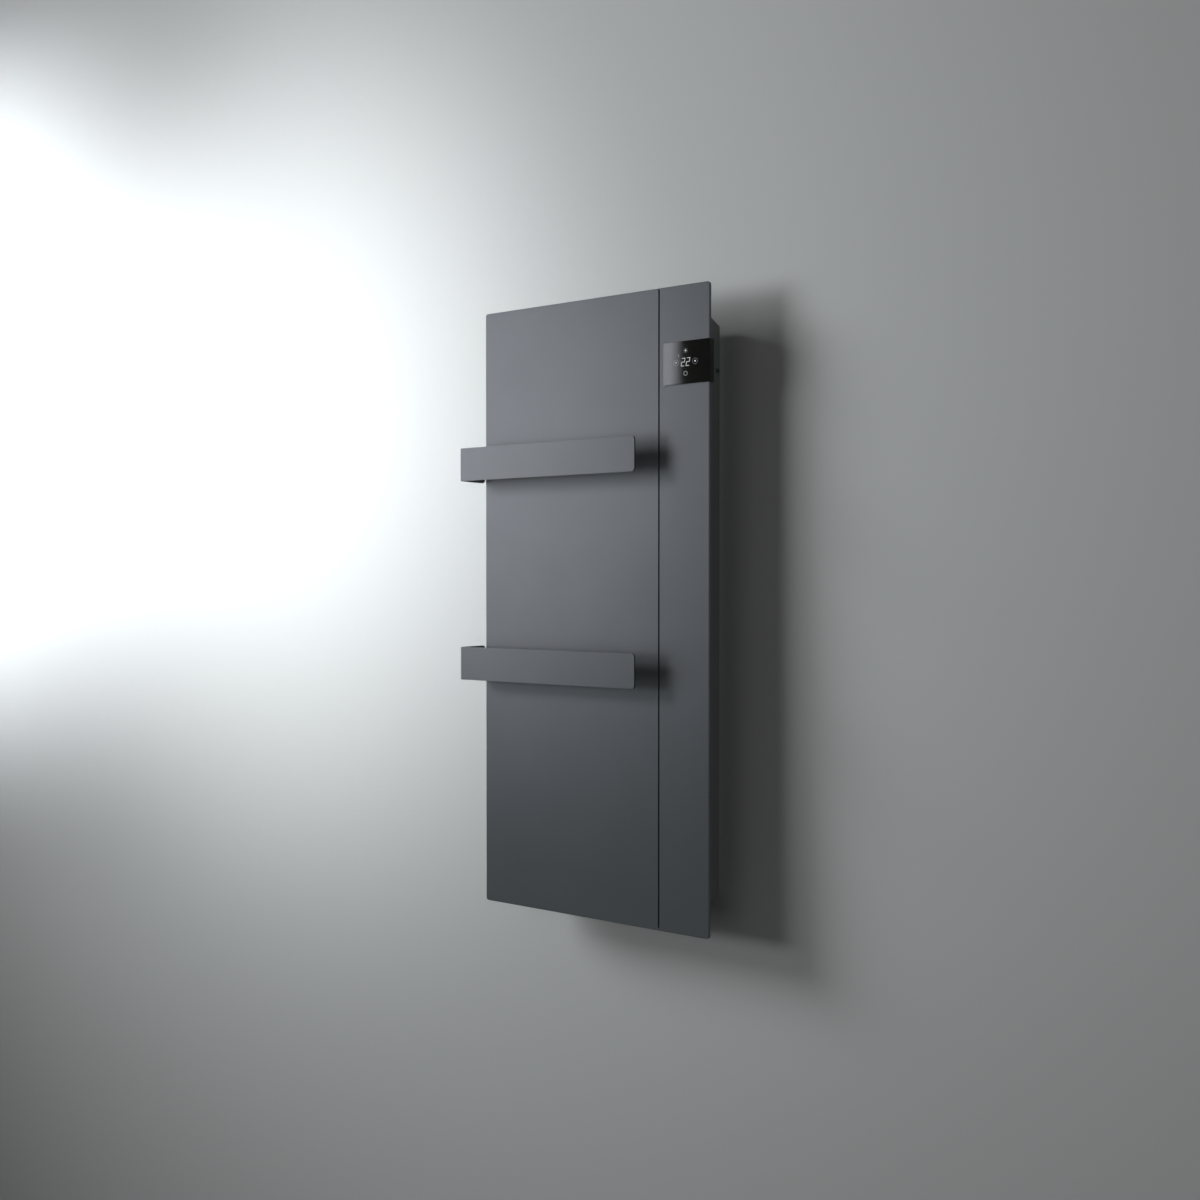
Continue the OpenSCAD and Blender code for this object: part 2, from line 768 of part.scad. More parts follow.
// Heat shield: a shallow tray that closes over the insulation
module heat_shield() {
    outer_w = zone_w + 2 * (shield_gap + shield_t);
    outer_h = insulation_h + 2 * (shield_gap + shield_t);
    rim_y = diffuser_back_y + 1;
    color(steel) difference() {
        block([zone_x - outer_w / 2, zone_x + outer_w / 2], [rim_y, shield_back_y],
            [-outer_h / 2, outer_h / 2]);
        block([zone_left - shield_gap, zone_right + shield_gap], [rim_y - past, insulation_back_y],
            [-insulation_h / 2 - shield_gap, insulation_h / 2 + shield_gap]);
        for (x = shield_stud_xs, z = shield_stud_zs)
            rod_y(x, [insulation_back_y - past, shield_back_y + past], z, stud_hole_r);
        block([zone_right, shield_right + past], [rim_y - past, insulation_y + 2],
            [insulation_h / 2 - 40, insulation_h / 2 - 4]);
    }
}
module at_shield_studs() {
    for (x = shield_stud_xs, z = shield_stud_zs) translate([x, 0, z]) children();
}
module shield_studs() {
    color(steel) at_shield_studs() rod_y(0, [back_y, back_y + shield_stud_l], 0, stud_r);
}
module shield_nuts() {
    color(steel) at_shield_studs() nut(shield_back_y);
}

// Limit thermostats: a cap on the hot plate, a body behind it and two tabs
module limit_thermostats() {
    color(white) for (z = thermostat_zs) {
        cap_y = diffuser_back_y + thermostat_cap_t;
        tab_y = diffuser_back_y + thermostat_t;
        rod_y(zone_x, [diffuser_back_y, cap_y], z, thermostat_r);
        rod_y(zone_x, [cap_y, tab_y], z, thermostat_r - 1.5);
        for (i = [-1, 1]) translate([zone_x + i * thermostat_tab_dx, 0, z])
            block([-0.4, 0.4], [tab_y, tab_y + thermostat_tab_l], [-3, 3]);
    }
}

// Cold leads from the cable's two ends to the power board, with their crimp sleeves
module heater_leads() {
    top = diffuser_h / 2 + cable_tail;
    bend_x = (shield_right + partition_x) / 2;
    color([0.55, 0.10, 0.10]) for (i = [0, 1]) {
        x = run_x(i == 0 ? 0 : run_count - 1);
        level = lead_hole_z + (i == 0 ? 1 : -1) * (lead_r + fit);
        down_x = plug_x + 14 - 4 * i;
        z = plug_z(1 + i);
        rod_z(x, cable_y, [top, top + crimp_l], cable_r + 0.2);
        bent_wire([[x, cable_y, top + crimp_l], [x, cable_y, level], [bend_x, cable_y, level],
            [bend_x, lead_hole_y, level], [down_x, lead_hole_y, level], [down_x, plug_y, level],
            [down_x, plug_y, z], [plug_x, plug_y, z]], lead_r, lead_bend);
    }
}

// Partition: a thin wall with a flange screwed to the casing's back
module partition_wall() {
    color(steel) difference() {
        union() {
            block([partition_x, partition_face], [partition_front_y, casing_inner_y],
                [-partition_half, partition_half]);
            block([partition_face, partition_face + partition_flange],
                [casing_inner_y - partition_t, casing_inner_y], [-partition_half, partition_half]);
        }
        rod_x([partition_x - past, partition_face + past], lead_hole_y, lead_hole_z, lead_hole_r);
        for (z = partition_screw_zs)
            rod_y(partition_face + partition_flange / 2,
                [casing_inner_y - partition_t - past, casing_inner_y + past], z, 2.05);
    }
}
module partition_screws() {
    x = partition_face + partition_flange / 2;
    color(steel) for (z = partition_screw_zs) difference() {
        union() {
            rod_y(x, [casing_inner_y - 2.3, casing_back_y + past], z, 2);
            rod_y(x, [casing_back_y, casing_back_y + 2.4], z, 3.8);
        }
        block([x - 2.6, x + 2.6], [casing_back_y + 1.2, casing_back_y + 3], [z - 0.5, z + 0.5]);
        block([x - 0.5, x + 0.5], [casing_back_y + 1.2, casing_back_y + 3], [z - 2.6, z + 2.6]);
    }
}
module lead_grommet() {
    color(black) difference() {
        union() {
            rod_x([partition_x - 1.2, partition_x], lead_hole_y, lead_hole_z, lead_hole_r + 2);
            rod_x([partition_x - 0.6, partition_face + 0.6], lead_hole_y, lead_hole_z, lead_hole_r - 0.1);
            rod_x([partition_face, partition_face + 1.2], lead_hole_y, lead_hole_z, lead_hole_r + 2);
        }
        rod_x([partition_x - 3, partition_face + 3], lead_hole_y, lead_hole_z, lead_hole_r - 2);
    }
}

// Control: black glass on a housing that slides into the panel's notch
module control_glass() {
    color(black) along_y([control_front_y, glass_back_y])
        translate([control_left + control_w / 2, control_z]) rounded_rect(control_w, control_h, 1.5);
}
module control_housing() {
    mid_x = control_left + control_w / 2;
    lip = 2;
    color(black) difference() {
        union() {
            along_y([glass_back_y, front_y]) translate([mid_x, control_z])
                rounded_rect(control_w, control_h, 1.5);
            block([notch_left + fit, cheek_x], [glass_back_y, control_back_y],
                [control_z - notch_h / 2 + fit, control_z + notch_h / 2 - fit]);
            block([notch_left - lip, panel_w / 2 - panel_t - fit], [back_y, control_back_y],
                [control_z - notch_h / 2 - lip, control_z + notch_h / 2 + lip]);
            block([cheek_x, control_right], [glass_back_y, control_back_y],
                [control_z - control_h / 2, control_z + control_h / 2]);
        }
        block([cavity_left, cavity_right], [glass_back_y - past, cavity_y],
            [control_z - cavity_h / 2, control_z + cavity_h / 2]);
        rod_y(lead_port_x, [cavity_y - past, control_back_y + past], lead_port_z, lead_port_r);
    }
    color(black) for (x = [cavity_left + 6, cavity_right - 6], j = [-1, 1])
        rod_y(x, [display_back_y, cavity_y], control_z + j * (cavity_h / 2 - 6), 2);
}
module display_board() {
    color([0.05, 0.25, 0.15]) block([cavity_left + 1, cavity_right - 1],
        [display_front_y, display_back_y],
        [control_z - cavity_h / 2 + 1, control_z + cavity_h / 2 - 1]);
}
module display_module() {
    color([0.12, 0.12, 0.12]) block([display_x - module_w / 2, display_x + module_w / 2],
        [glass_back_y, display_front_y], [display_z + 1 - module_h / 2, display_z + 1 + module_h / 2]);
}
module touch_springs() {
    color(steel) for (k = key_offsets) translate([display_x + k[0], 0, display_z + k[1]]) difference() {
        rod_y(0, [glass_back_y, display_front_y], 0, key_spring_r);
        rod_y(0, [glass_back_y - past, display_front_y + past], 0, key_spring_r - 0.8);
    }
}
module display_lead() {
    x = lead_port_x;
    y = display_plug_y;
    color([0.75, 0.75, 0.72]) bent_wire([[x, display_back_y, lead_port_z], [x, y, lead_port_z],
        [x, y, display_plug_z], [plug_x, y, display_plug_z]], display_lead_r, 5);
}

// Power board and what stands on it
module power_board() {
    color([0.05, 0.30, 0.18]) difference() {
        block([power_x, power_face], [power_front_y, power_back_y], [power_bottom, power_top]);
        at_pillars() rod_x([power_x - past, power_face + past], 0, 0, board_screw_r + 0.2);
    }
}
module at_pillars() {
    for (y = [power_front_y + pillar_inset, power_back_y - pillar_inset],
        z = [power_bottom + pillar_inset, power_top - pillar_inset])
        translate([0, y, z]) children();
}
module board_pillars() {
    color(white) at_pillars() difference() {
        rod_x([partition_face, power_x], 0, 0, pillar_r);
        rod_x([partition_face + 1, power_x + past], 0, 0, board_screw_r + 0.05);
    }
}
module board_screws() {
    color(steel) at_pillars() difference() {
        union() {
            rod_x([power_x - 5, power_face + past], 0, 0, board_screw_r);
            rod_x([power_face, power_face + 2], 0, 0, 2.8);
        }
        block([power_face + 1, power_face + 3], [-2, 2], [-0.4, 0.4]);
        block([power_face + 1, power_face + 3], [-0.4, 0.4], [-2, 2]);
    }
}
module relay() {
    back = plug_y - plug_size / 2 - 1;
    color([0.10, 0.25, 0.55]) block([power_face, power_face + relay_out], [back - relay_w, back],
        [power_bottom + relay_up, power_bottom + relay_up + relay_h]);
}
module transformer() {
    half_w = transformer_w / 2;
    half_h = transformer_h / 2;
    bobbin = half_w - core_t;
    out = transformer_out;
    color([0.30, 0.26, 0.20])
        translate([power_face, plug_y - plug_size / 2 - 2 - half_w, power_bottom + transformer_up]) {
            block([0, core_t], [-half_w, half_w], [-half_h - 2, half_h + 2]);
            block([core_t, out - core_t], [-bobbin, bobbin], [2 - half_h, half_h - 2]);
            block([core_t, out], [-half_w, -bobbin], [-half_h, half_h]);
            block([core_t, out], [bobbin, half_w], [-half_h, half_h]);
            block([out - core_t, out], [-bobbin, bobbin], [-half_h, half_h]);
        }
}
module filter_capacitors() {
    color([0.15, 0.15, 0.18]) for (i = [0 : capacitor_count - 1])
        rod_x([power_face, power_face + capacitor_l], power_front_y + 2 * capacitor_r + 1,
            power_bottom + capacitor_up + i * capacitor_pitch, capacitor_r);
}
module plug(y, z, size) {
    half = size / 2;
    block([power_face, plug_x], [y - half, y + half], [z - half, z + half]);
}
module board_connectors() {
    color(white) {
        plug(display_plug_y, display_plug_z, plug_size);
        for (i = [0 : plug_count - 1]) plug(plug_y, plug_z(i), plug_size);
        plug(sensor_y, sensor_plug_z, sensor_plug_size);
    }
}

// Terminal block for the mains cable
module terminal_block() {
    w = pole_count * pole_pitch;
    color(white) difference() {
        block([partition_face, partition_face + terminal_depth], [terminal_y - w / 2, terminal_y + w / 2],
            [terminal_z - terminal_h / 2, terminal_z + terminal_h / 2]);
        for (i = [0 : pole_count - 1]) {
            rod_z(lead_x, pole_y(i), [terminal_z - terminal_h, terminal_z + terminal_h], lead_r + 0.6);
            for (j = [-1, 1])
                rod_x([lead_x, partition_face + terminal_depth + past], pole_y(i),
                    terminal_z + j * pole_dz, pole_r + 0.1);
        }
    }
}
module terminal_screws() {
    head_x = partition_face + terminal_depth - 2;
    color(steel) for (i = [0 : pole_count - 1], j = [-1, 1]) difference() {
        rod_x([lead_x + lead_r + 0.1, head_x], pole_y(i), terminal_z + j * pole_dz, pole_r);
        block([head_x - 1, head_x + past], [pole_y(i) - pole_r - past, pole_y(i) + pole_r + past],
            [terminal_z + j * pole_dz - 0.3, terminal_z + j * pole_dz + 0.3]);
    }
}

// Leads from the terminal block to the switch and the power board
module mains_leads() {
    rear_y = power_back_y + 4;
    upper_tab_z = switch_z + switch_tab_dz;
    lower_tab_z = switch_z - switch_tab_dz;
    side_x = switch_tab_x - 8;
    down_x = switch_tab_x - 10;
    over_z = power_top + 10;
    under_z = power_bottom - 14;
    color([0.35, 0.20, 0.12]) {
        bent_wire([[lead_x, pole_y(2), terminal_z + pole_entry], [lead_x, pole_y(2), terminal_z + 30],
            [lead_x, rear_y, terminal_z + 30], [lead_x, rear_y, upper_tab_z],
            [side_x, rear_y, upper_tab_z], [side_x, switch_y, upper_tab_z],
            [switch_tab_x, switch_y, upper_tab_z]], lead_r, 2.5);
        bent_wire([[switch_tab_x, switch_y, lower_tab_z], [down_x, switch_y, lower_tab_z],
            [down_x, switch_y, over_z], [plug_x + 6, switch_y, over_z],
            [plug_x + 6, plug_y, over_z], [plug_x + 6, plug_y, plug_z(3)],
            [plug_x, plug_y, plug_z(3)]], lead_r, 3);
        bent_wire([[lead_x, pole_y(1), terminal_z + pole_entry], [lead_x, pole_y(1), under_z],
            [plug_x + 8, pole_y(1), under_z], [plug_x + 8, plug_y, under_z],
            [plug_x + 8, plug_y, plug_z(0)], [plug_x, plug_y, plug_z(0)]], lead_r, 3);
    }
}
module lead_clips() {
    y = pole_y(1);
    color(white) for (i = [1 : clip_count]) translate([0, 0, terminal_z + i * clip_pitch]) difference() {
        block([partition_face, lead_x + lead_r + clip_wall], [y - clip_w / 2, y + clip_w / 2],
            [-clip_w / 2, clip_w / 2]);
        rod_z(lead_x, y, [-clip_w, clip_w], lead_r + 0.1);
    }
}

// Earth lead from the terminal block to a stud on the panel
module earth_lead() {
    y = earth_lead_y;
    color([0.30, 0.55, 0.15]) {
        difference() {
            rod_y(earth_x, [back_y, back_y + lug_t], earth_z, lug_r);
            rod_y(earth_x, [back_y - past, back_y + lug_t + past], earth_z, stud_hole_r);
        }
        block([earth_x - lead_r - fit, earth_x + lead_r + fit], [back_y, y],
            [earth_z - lug_l, earth_z - lug_r + 0.5]);
        bent_wire([[earth_x, y, earth_z - lug_l + 4], [earth_x, y, earth_turn_z],
            [lead_x, y, earth_turn_z], [lead_x, pole_y(0), earth_turn_z],
            [lead_x, pole_y(0), terminal_z + pole_entry]], lead_r, lead_bend);
    }
}
module earth_nut() {
    color(steel) {
        translate([earth_x, 0, earth_z]) nut(back_y + lug_t);
        rod_y(earth_x, [back_y, back_y + stud_l], earth_z, stud_r);
    }
}

// Side switch: a body in the casing's side and a rocking key
module switch_body() {
    inner_x = switch_x - switch_depth;
    color(black) difference() {
        union() {
            block([switch_x, switch_x + bezel_t], [switch_y - switch_l / 2, switch_y + switch_l / 2],
                [switch_z - switch_w / 2, switch_z + switch_w / 2]);
            block([inner_x, switch_x], [switch_y - switch_body_l / 2, switch_y + switch_body_l / 2],
                [switch_z - switch_body_w / 2, switch_z + switch_body_w / 2]);
            for (j = [-1, 1])
                block([switch_tab_x, inner_x], [switch_y - 2.4, switch_y + 2.4],
                    [switch_z + j * switch_tab_dz - 0.4, switch_z + j * switch_tab_dz + 0.4]);
        }
        block([switch_x - 6, switch_x + bezel_t + past], [switch_y - cavity_l / 2, switch_y + cavity_l / 2],
            [switch_z - cavity_w / 2, switch_z + cavity_w / 2]);
        rod_z(switch_x - pivot_in, switch_y, [switch_z - switch_body_w / 2 + 0.2,
            switch_z + switch_body_w / 2 - 0.2], trunnion_r + trunnion_clearance);
    }
}
module rocker_key() {
    half = key_l / 2;
    crest = pivot_in + bezel_t - 0.6;
    rise = half * tan(rocker_travel / 2);
    color([0.08, 0.08, 0.09]) translate([switch_x - pivot_in, switch_y, switch_z])
        rotate([0, 0, -rocker_travel / 2]) {
            translate([0, 0, -key_w / 2]) linear_extrude(key_w)
                polygon([[-2.2, -half], [crest + rise, -half], [crest, 0], [crest + rise, half],
                    [-2.2, half]]);
            rod_z(0, 0, [-key_w / 2 - 0.5, key_w / 2 + 0.5], trunnion_r);
        }
}

// Cable gland through the sloping lower end, and the nut inside
module at_gland() {
    mirror([0, 0, 1]) on_slope(gland_x, gland_shift) children();
}
module cable_gland() {
    body_l = 9;
    dome_l = gland_l - body_l - gland_nut_t - casing_t - 2;
    inside = gland_nut_t + casing_t + 2;
    color(black) at_gland() difference() {
        union() {
            translate([0, 0, -inside]) cylinder(h = inside, r = gland_thread_r);
            cylinder(h = body_l, r = gland_af / sqrt(3), $fn = 6);
            translate([0, 0, body_l]) cylinder(h = dome_l, r1 = gland_af / 2 - 0.5, r2 = gland_bore_r + 2.2);
        }
        translate([0, 0, -inside - past]) cylinder(h = gland_l + 2 * past, r = gland_bore_r);
    }
}
module gland_nut() {
    color(black) at_gland() translate([0, 0, -casing_t - gland_nut_t]) difference() {
        cylinder(h = gland_nut_t, r = gland_nut_af / sqrt(3), $fn = 6);
        translate([0, 0, -past]) cylinder(h = gland_nut_t + 2 * past, r = gland_thread_r + 0.05);
    }
}

// Room sensor, upright in a clip between the lower vents of the control side
module sensor_clip() {
    color(white) difference() {
        block([sensor_x - clip_half, sensor_x + clip_half],
            [sensor_y - clip_half, sensor_y + clip_half], [sensor_z - clip_half, sensor_z + clip_top]);
        mirror([0, 0, 1]) on_slope(sensor_x, sensor_along) translate([-20, -30, -casing_t])
            cube([40, 60, 40]);
        rod_z(sensor_x, sensor_y, [sensor_foot_z, sensor_z + 20], sensor_r + 0.1);
    }
}
module room_sensor() {
    color(black) rod_z(sensor_x, sensor_y, [sensor_foot_z, sensor_foot_z + sensor_l], sensor_r);
}
module sensor_lead() {
    color([0.30, 0.30, 0.30]) bent_wire([[sensor_x, sensor_y, sensor_foot_z + sensor_l],
        [sensor_x, sensor_y, sensor_plug_z], [plug_x, sensor_y, sensor_plug_z]], sensor_lead_r, 3);
}

// Wall bracket: two cross rails on the wall, two channel uprights, four hooks
module bracket_upright(x) {
    half = upright_w / 2;
    block([x - half, x + half], [web_y, web_y + bracket_t], [-upright_half, upright_half]);
    for (side = [x - half, x + half - bracket_t])
        block([side, side + bracket_t], [web_y + bracket_t, -bracket_t], [-upright_half, upright_half]);
    block([x - half, x + half], [web_y, 0], [lug_z, lug_z + lock_cap_t]);
    for (z = [-hook_dz / 2, hook_dz / 2]) {
        block([x - hook_w / 2, x + hook_w / 2], [web_y - hook_reach, web_y], [z - bracket_t, z]);
        block([x - hook_w / 2, x + hook_w / 2], [web_y - hook_reach, web_y - hook_reach + bracket_t],
            [z, z + hook_lip]);
    }
}
module wall_bracket() {
    color(steel) difference() {
        union() {
            for (z = [-fixing_dz / 2, fixing_dz / 2])
                block([-rail_l / 2, rail_l / 2], [-bracket_t, 0], [z - rail_h / 2, z + rail_h / 2]);
            for (i = [-1, 1]) bracket_upright(i * lock_x);
        }
        for (i = [-1, 1], j = [-1, 1])
            rod_y(i * fixing_dx / 2, [-bracket_t - past, past], j * fixing_dz / 2, fixing_r);
        for (i = [-1, 1])
            rod_z(i * lock_x, lock_y, [lug_z - past, lug_z + lock_cap_t + past],
                lock_r + lock_clearance);
    }
}

// Quarter-turn lock: its wing stands in the casing's slot and stops the rail being lifted off
module bracket_lock() {
    head_z = wing_top - wing_t - lock_head_t;
    cap_z = lug_z + lock_cap_t + lock_play;
    color([0.75, 0.30, 0.10]) translate([lock_x, lock_y, 0]) difference() {
        union() {
            rod_z(0, 0, [head_z, cap_z], lock_r);
            rod_z(0, 0, [cap_z, cap_z + 1.5], lock_head_r);
            rod_z(0, 0, [head_z, wing_top], lock_head_r);
            block([-wing_w / 2, wing_w / 2], [-wing_l + wing_w / 2, 0], [wing_top - wing_t, wing_top]);
            rod_z(0, -wing_l + wing_w / 2, [wing_top - wing_t, wing_top], wing_w / 2);
        }
        block([-0.6, 0.6], [-lock_head_r - 1, lock_head_r + 1], [head_z - past, head_z + 1.6]);
    }
}
module right_bracket_lock() {
    bracket_lock();
}
module left_bracket_lock() {
    mirror([1, 0, 0]) bracket_lock();
}

// Rubber buffers between the casing's lower corners and the wall
module wall_buffers() {
    color(black) for (i = [-1, 1]) {
        rod_y(i * buffer_x, [casing_back_y, 0], buffer_z, buffer_r);
        rod_y(i * buffer_x, [casing_inner_y, casing_back_y], buffer_z, buffer_stem_r);
        rod_y(i * buffer_x, [casing_inner_y - 3, casing_inner_y], buffer_z, buffer_stem_r + 1.5);
    }
}

front_panel();
slot_insert();
upper_towel_bar();
lower_towel_bar();
bar_anchors();
bar_screws();
rear_casing();
panel_studs();
casing_nuts();
diffuser_plate();
heating_cable();
insulation_board();
heat_shield();
shield_studs();
shield_nuts();
limit_thermostats();
heater_leads();
partition_wall();
partition_screws();
lead_grommet();
control_glass();
control_housing();
display_board();
display_module();
touch_springs();
display_lead();
power_board();
board_pillars();
board_screws();
relay();
transformer();
filter_capacitors();
board_connectors();
terminal_block();
terminal_screws();
mains_leads();
lead_clips();
earth_lead();
earth_nut();
switch_body();
rocker_key();
cable_gland();
gland_nut();
room_sensor();
sensor_clip();
sensor_lead();
wall_bracket();
left_bracket_lock();
right_bracket_lock();
wall_buffers();
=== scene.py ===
# %% [markdown]
# # A heated towel rail on a wall
#
# A real rail of this kind is folded from steel sheet and powder coated. The solids come from the
# CAD model, already in metres and in place. This script dresses them: it rebuilds the pieces that
# show with soft edges, gives every piece a finish, and photographs the rail on a wall.

# %% Load the CAD frame
import json
import math

import bmesh
import bpy
from mathutils import Matrix, Vector

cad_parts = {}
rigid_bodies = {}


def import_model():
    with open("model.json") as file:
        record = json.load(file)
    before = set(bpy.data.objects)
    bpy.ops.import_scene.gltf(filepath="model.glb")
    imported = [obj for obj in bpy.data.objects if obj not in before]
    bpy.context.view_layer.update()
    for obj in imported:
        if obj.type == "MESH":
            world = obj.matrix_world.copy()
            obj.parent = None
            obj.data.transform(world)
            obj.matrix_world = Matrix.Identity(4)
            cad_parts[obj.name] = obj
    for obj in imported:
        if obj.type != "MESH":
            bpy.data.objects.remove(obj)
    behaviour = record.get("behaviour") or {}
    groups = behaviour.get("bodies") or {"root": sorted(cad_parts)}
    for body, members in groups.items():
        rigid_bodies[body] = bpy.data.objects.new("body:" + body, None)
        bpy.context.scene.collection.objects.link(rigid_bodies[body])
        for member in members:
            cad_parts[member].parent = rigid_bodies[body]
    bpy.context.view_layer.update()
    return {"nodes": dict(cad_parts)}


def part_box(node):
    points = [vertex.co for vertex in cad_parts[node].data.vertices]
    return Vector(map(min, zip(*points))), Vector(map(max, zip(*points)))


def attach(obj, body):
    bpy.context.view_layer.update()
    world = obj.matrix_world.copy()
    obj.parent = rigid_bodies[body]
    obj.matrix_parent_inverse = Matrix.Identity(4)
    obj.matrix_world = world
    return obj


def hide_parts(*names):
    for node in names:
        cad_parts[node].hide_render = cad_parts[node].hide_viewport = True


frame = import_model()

MM = 0.001
BODY = "towel_rail"
print("pieces from the CAD model:", len(frame["nodes"]))


# %% [markdown]
# ## The camera
#
# The photograph was taken from the right and almost level, so the panel's right edge is the nearest
# and looks the tallest. The picture is square and its view is 50 degrees wide. That angle and the
# sensor's width of 36 mm give the lens.

# %% Place the camera
VIEW_ANGLE = math.radians(50)
SENSOR_WIDTH = 36
CAMERA_PLACE = Vector((1.2994, -1.9748, 0.0511))
CAMERA_AIM = Vector((-0.5637, 0.8258, -0.0149))

camera = bpy.data.objects.new("camera", bpy.data.cameras.new("camera"))
bpy.context.scene.collection.objects.link(camera)
camera.location = CAMERA_PLACE
camera.rotation_euler = CAMERA_AIM.to_track_quat("-Z", "Y").to_euler()
camera.data.sensor_width = SENSOR_WIDTH
camera.data.lens = SENSOR_WIDTH / 2 / math.tan(VIEW_ANGLE / 2)
bpy.context.scene.camera = camera
print("lens in millimetres:", round(camera.data.lens, 2))

# %% [markdown]
# ## Small helpers for node materials
#
# Every finish below is a Principled shader fed by noise. These helpers add a node, join two sockets
# and make a noise pattern that reads Object coordinates, so that the pattern stays on its piece and
# has a real size: a scale of 1000 means about one speck per millimetre.

# %% Helpers for materials
def srgb(r, g, b):
    """A colour as it looks on screen, 0 to 255, turned into the linear values that shaders use."""
    def linear(c):
        c /= 255
        return c / 12.92 if c <= 0.04045 else ((c + 0.055) / 1.055) ** 2.4
    return (linear(r), linear(g), linear(b), 1)


class Finish:
    """A material with its Principled shader, and shortcuts to build the nodes that feed it."""

    def __init__(self, name, colour, roughness, metallic=0.0):
        self.material = bpy.data.materials.new(name)
        self.material.use_nodes = True
        self.material.diffuse_color = colour
        self.tree = self.material.node_tree
        self.shader = self.tree.nodes["Principled BSDF"]
        self.colour = colour
        self.set("Base Color", colour)
        self.set("Roughness", roughness)
        self.set("Metallic", metallic)
        self.place = self.node("ShaderNodeTexCoord").outputs["Object"]

    def node(self, kind, **settings):
        made = self.tree.nodes.new(kind)
        for name, value in settings.items():
            setattr(made, name, value)
        return made

    def set(self, socket, value):
        self.shader.inputs[socket].default_value = value

    def link(self, start, end):
        self.tree.links.new(start, end)

    def noise(self, scale, detail=3, stretch=(1, 1, 1), turn=(0, 0, 0)):
        """Cloudy values around 0.5. A stretch draws the pattern out into streaks."""
        mapping = self.node("ShaderNodeMapping")
        mapping.inputs["Scale"].default_value = stretch
        mapping.inputs["Rotation"].default_value = turn
        texture = self.node("ShaderNodeTexNoise")
        texture.inputs["Scale"].default_value = scale
        texture.inputs["Detail"].default_value = detail
        self.link(self.place, mapping.inputs["Vector"])
        self.link(mapping.outputs["Vector"], texture.inputs["Vector"])
        return texture.outputs["Fac"]

    def spread(self, value, low, high, start=0.3, end=0.7):
        """Maps the pattern's middle range onto values from low to high."""
        span = self.node("ShaderNodeMapRange")
        for name, amount in (("From Min", start), ("From Max", end),
                             ("To Min", low), ("To Max", high)):
            span.inputs[name].default_value = amount
        self.link(value, span.inputs["Value"])
        return span.outputs["Result"]

    def tint(self, pattern, amount, other=None):
        """Mixes a darker shade, or another colour, into the base where the pattern is high."""
        mix = self.node("ShaderNodeMix", data_type="RGBA")
        mix.inputs["A"].default_value = self.colour
        darker = tuple(c * (1 - amount) for c in self.colour[:3]) + (1,)
        mix.inputs["B"].default_value = other or darker
        self.link(self.spread(pattern, 0, 1), mix.inputs["Factor"])
        self.link(mix.outputs["Result"], self.shader.inputs["Base Color"])

    def rough(self, pattern, low, high):
        self.link(self.spread(pattern, low, high), self.shader.inputs["Roughness"])

    def bump(self, pattern, height, strength=1.0):
        """Raises the surface by up to this height in metres where the pattern is high."""
        bump = self.node("ShaderNodeBump")
        bump.inputs["Strength"].default_value = strength
        bump.inputs["Distance"].default_value = height
        self.link(pattern, bump.inputs["Height"])
        self.link(bump.outputs["Normal"], self.shader.inputs["Normal"])


print("helpers for materials are ready")

# %% [markdown]
# ## Powder coat
#
# The panel, the bars and the casing are powder coated steel. Such a coat is a satin plastic skin:
# dark grey with a little blue, and slightly pebbled because the powder melts into a skin without
# flowing quite flat. Fine noise gives the pebbles, and slow noise lets the sheen drift a little.

# %% Powder coat finishes
DRIFT_SCALE, SHEEN_SCALE, PEBBLE_SCALE = 9, 60, 1100
PEBBLE_H = 0.02 * MM
COAT_ROUGH = (0.44, 0.48)
COAT_SHINE = 0.4


def powder_coat(name, colour, low_rough, high_rough):
    coat = Finish(name, colour, low_rough)
    coat.tint(coat.noise(DRIFT_SCALE, 2), 0.05)
    coat.rough(coat.noise(SHEEN_SCALE, 4), low_rough, high_rough)
    coat.bump(coat.noise(PEBBLE_SCALE, 2), PEBBLE_H, 0.3)
    coat.set("Specular IOR Level", COAT_SHINE)
    return coat


GRAPHITE = srgb(92, 95, 100)
CASING_GRAPHITE = srgb(96, 98, 99)
finishes = {
    "satin_graphite": powder_coat("graphite powder coat", GRAPHITE, *COAT_ROUGH).material,
    "casing_graphite": powder_coat("casing powder coat", CASING_GRAPHITE, 0.52, 0.56).material,
}
print("powder coats:", list(finishes))

# %% [markdown]
# ## Plastics, rubber and glass
#
# The control's glass is printed black on its back, so it acts as an opaque and polished black.
# Moulded plastic has a fine spark-eroded texture from its mould, and rubber is duller still.

# %% Plastic, rubber and glass finishes
GRAIN_SCALE = 900
GRAIN_H = 0.04 * MM


def moulded(name, colour, roughness):
    plastic = Finish(name, colour, roughness)
    plastic.tint(plastic.noise(40, 2), 0.08)
    plastic.rough(plastic.noise(200, 3), roughness - 0.05, roughness + 0.05)
    plastic.bump(plastic.noise(GRAIN_SCALE, 2), GRAIN_H, 0.4)
    return plastic.material


def black_glass():
    glass = Finish("printed black glass", srgb(4, 4, 4), 0.05)
    glass.rough(glass.noise(30, 2), 0.03, 0.05)
    return glass.material


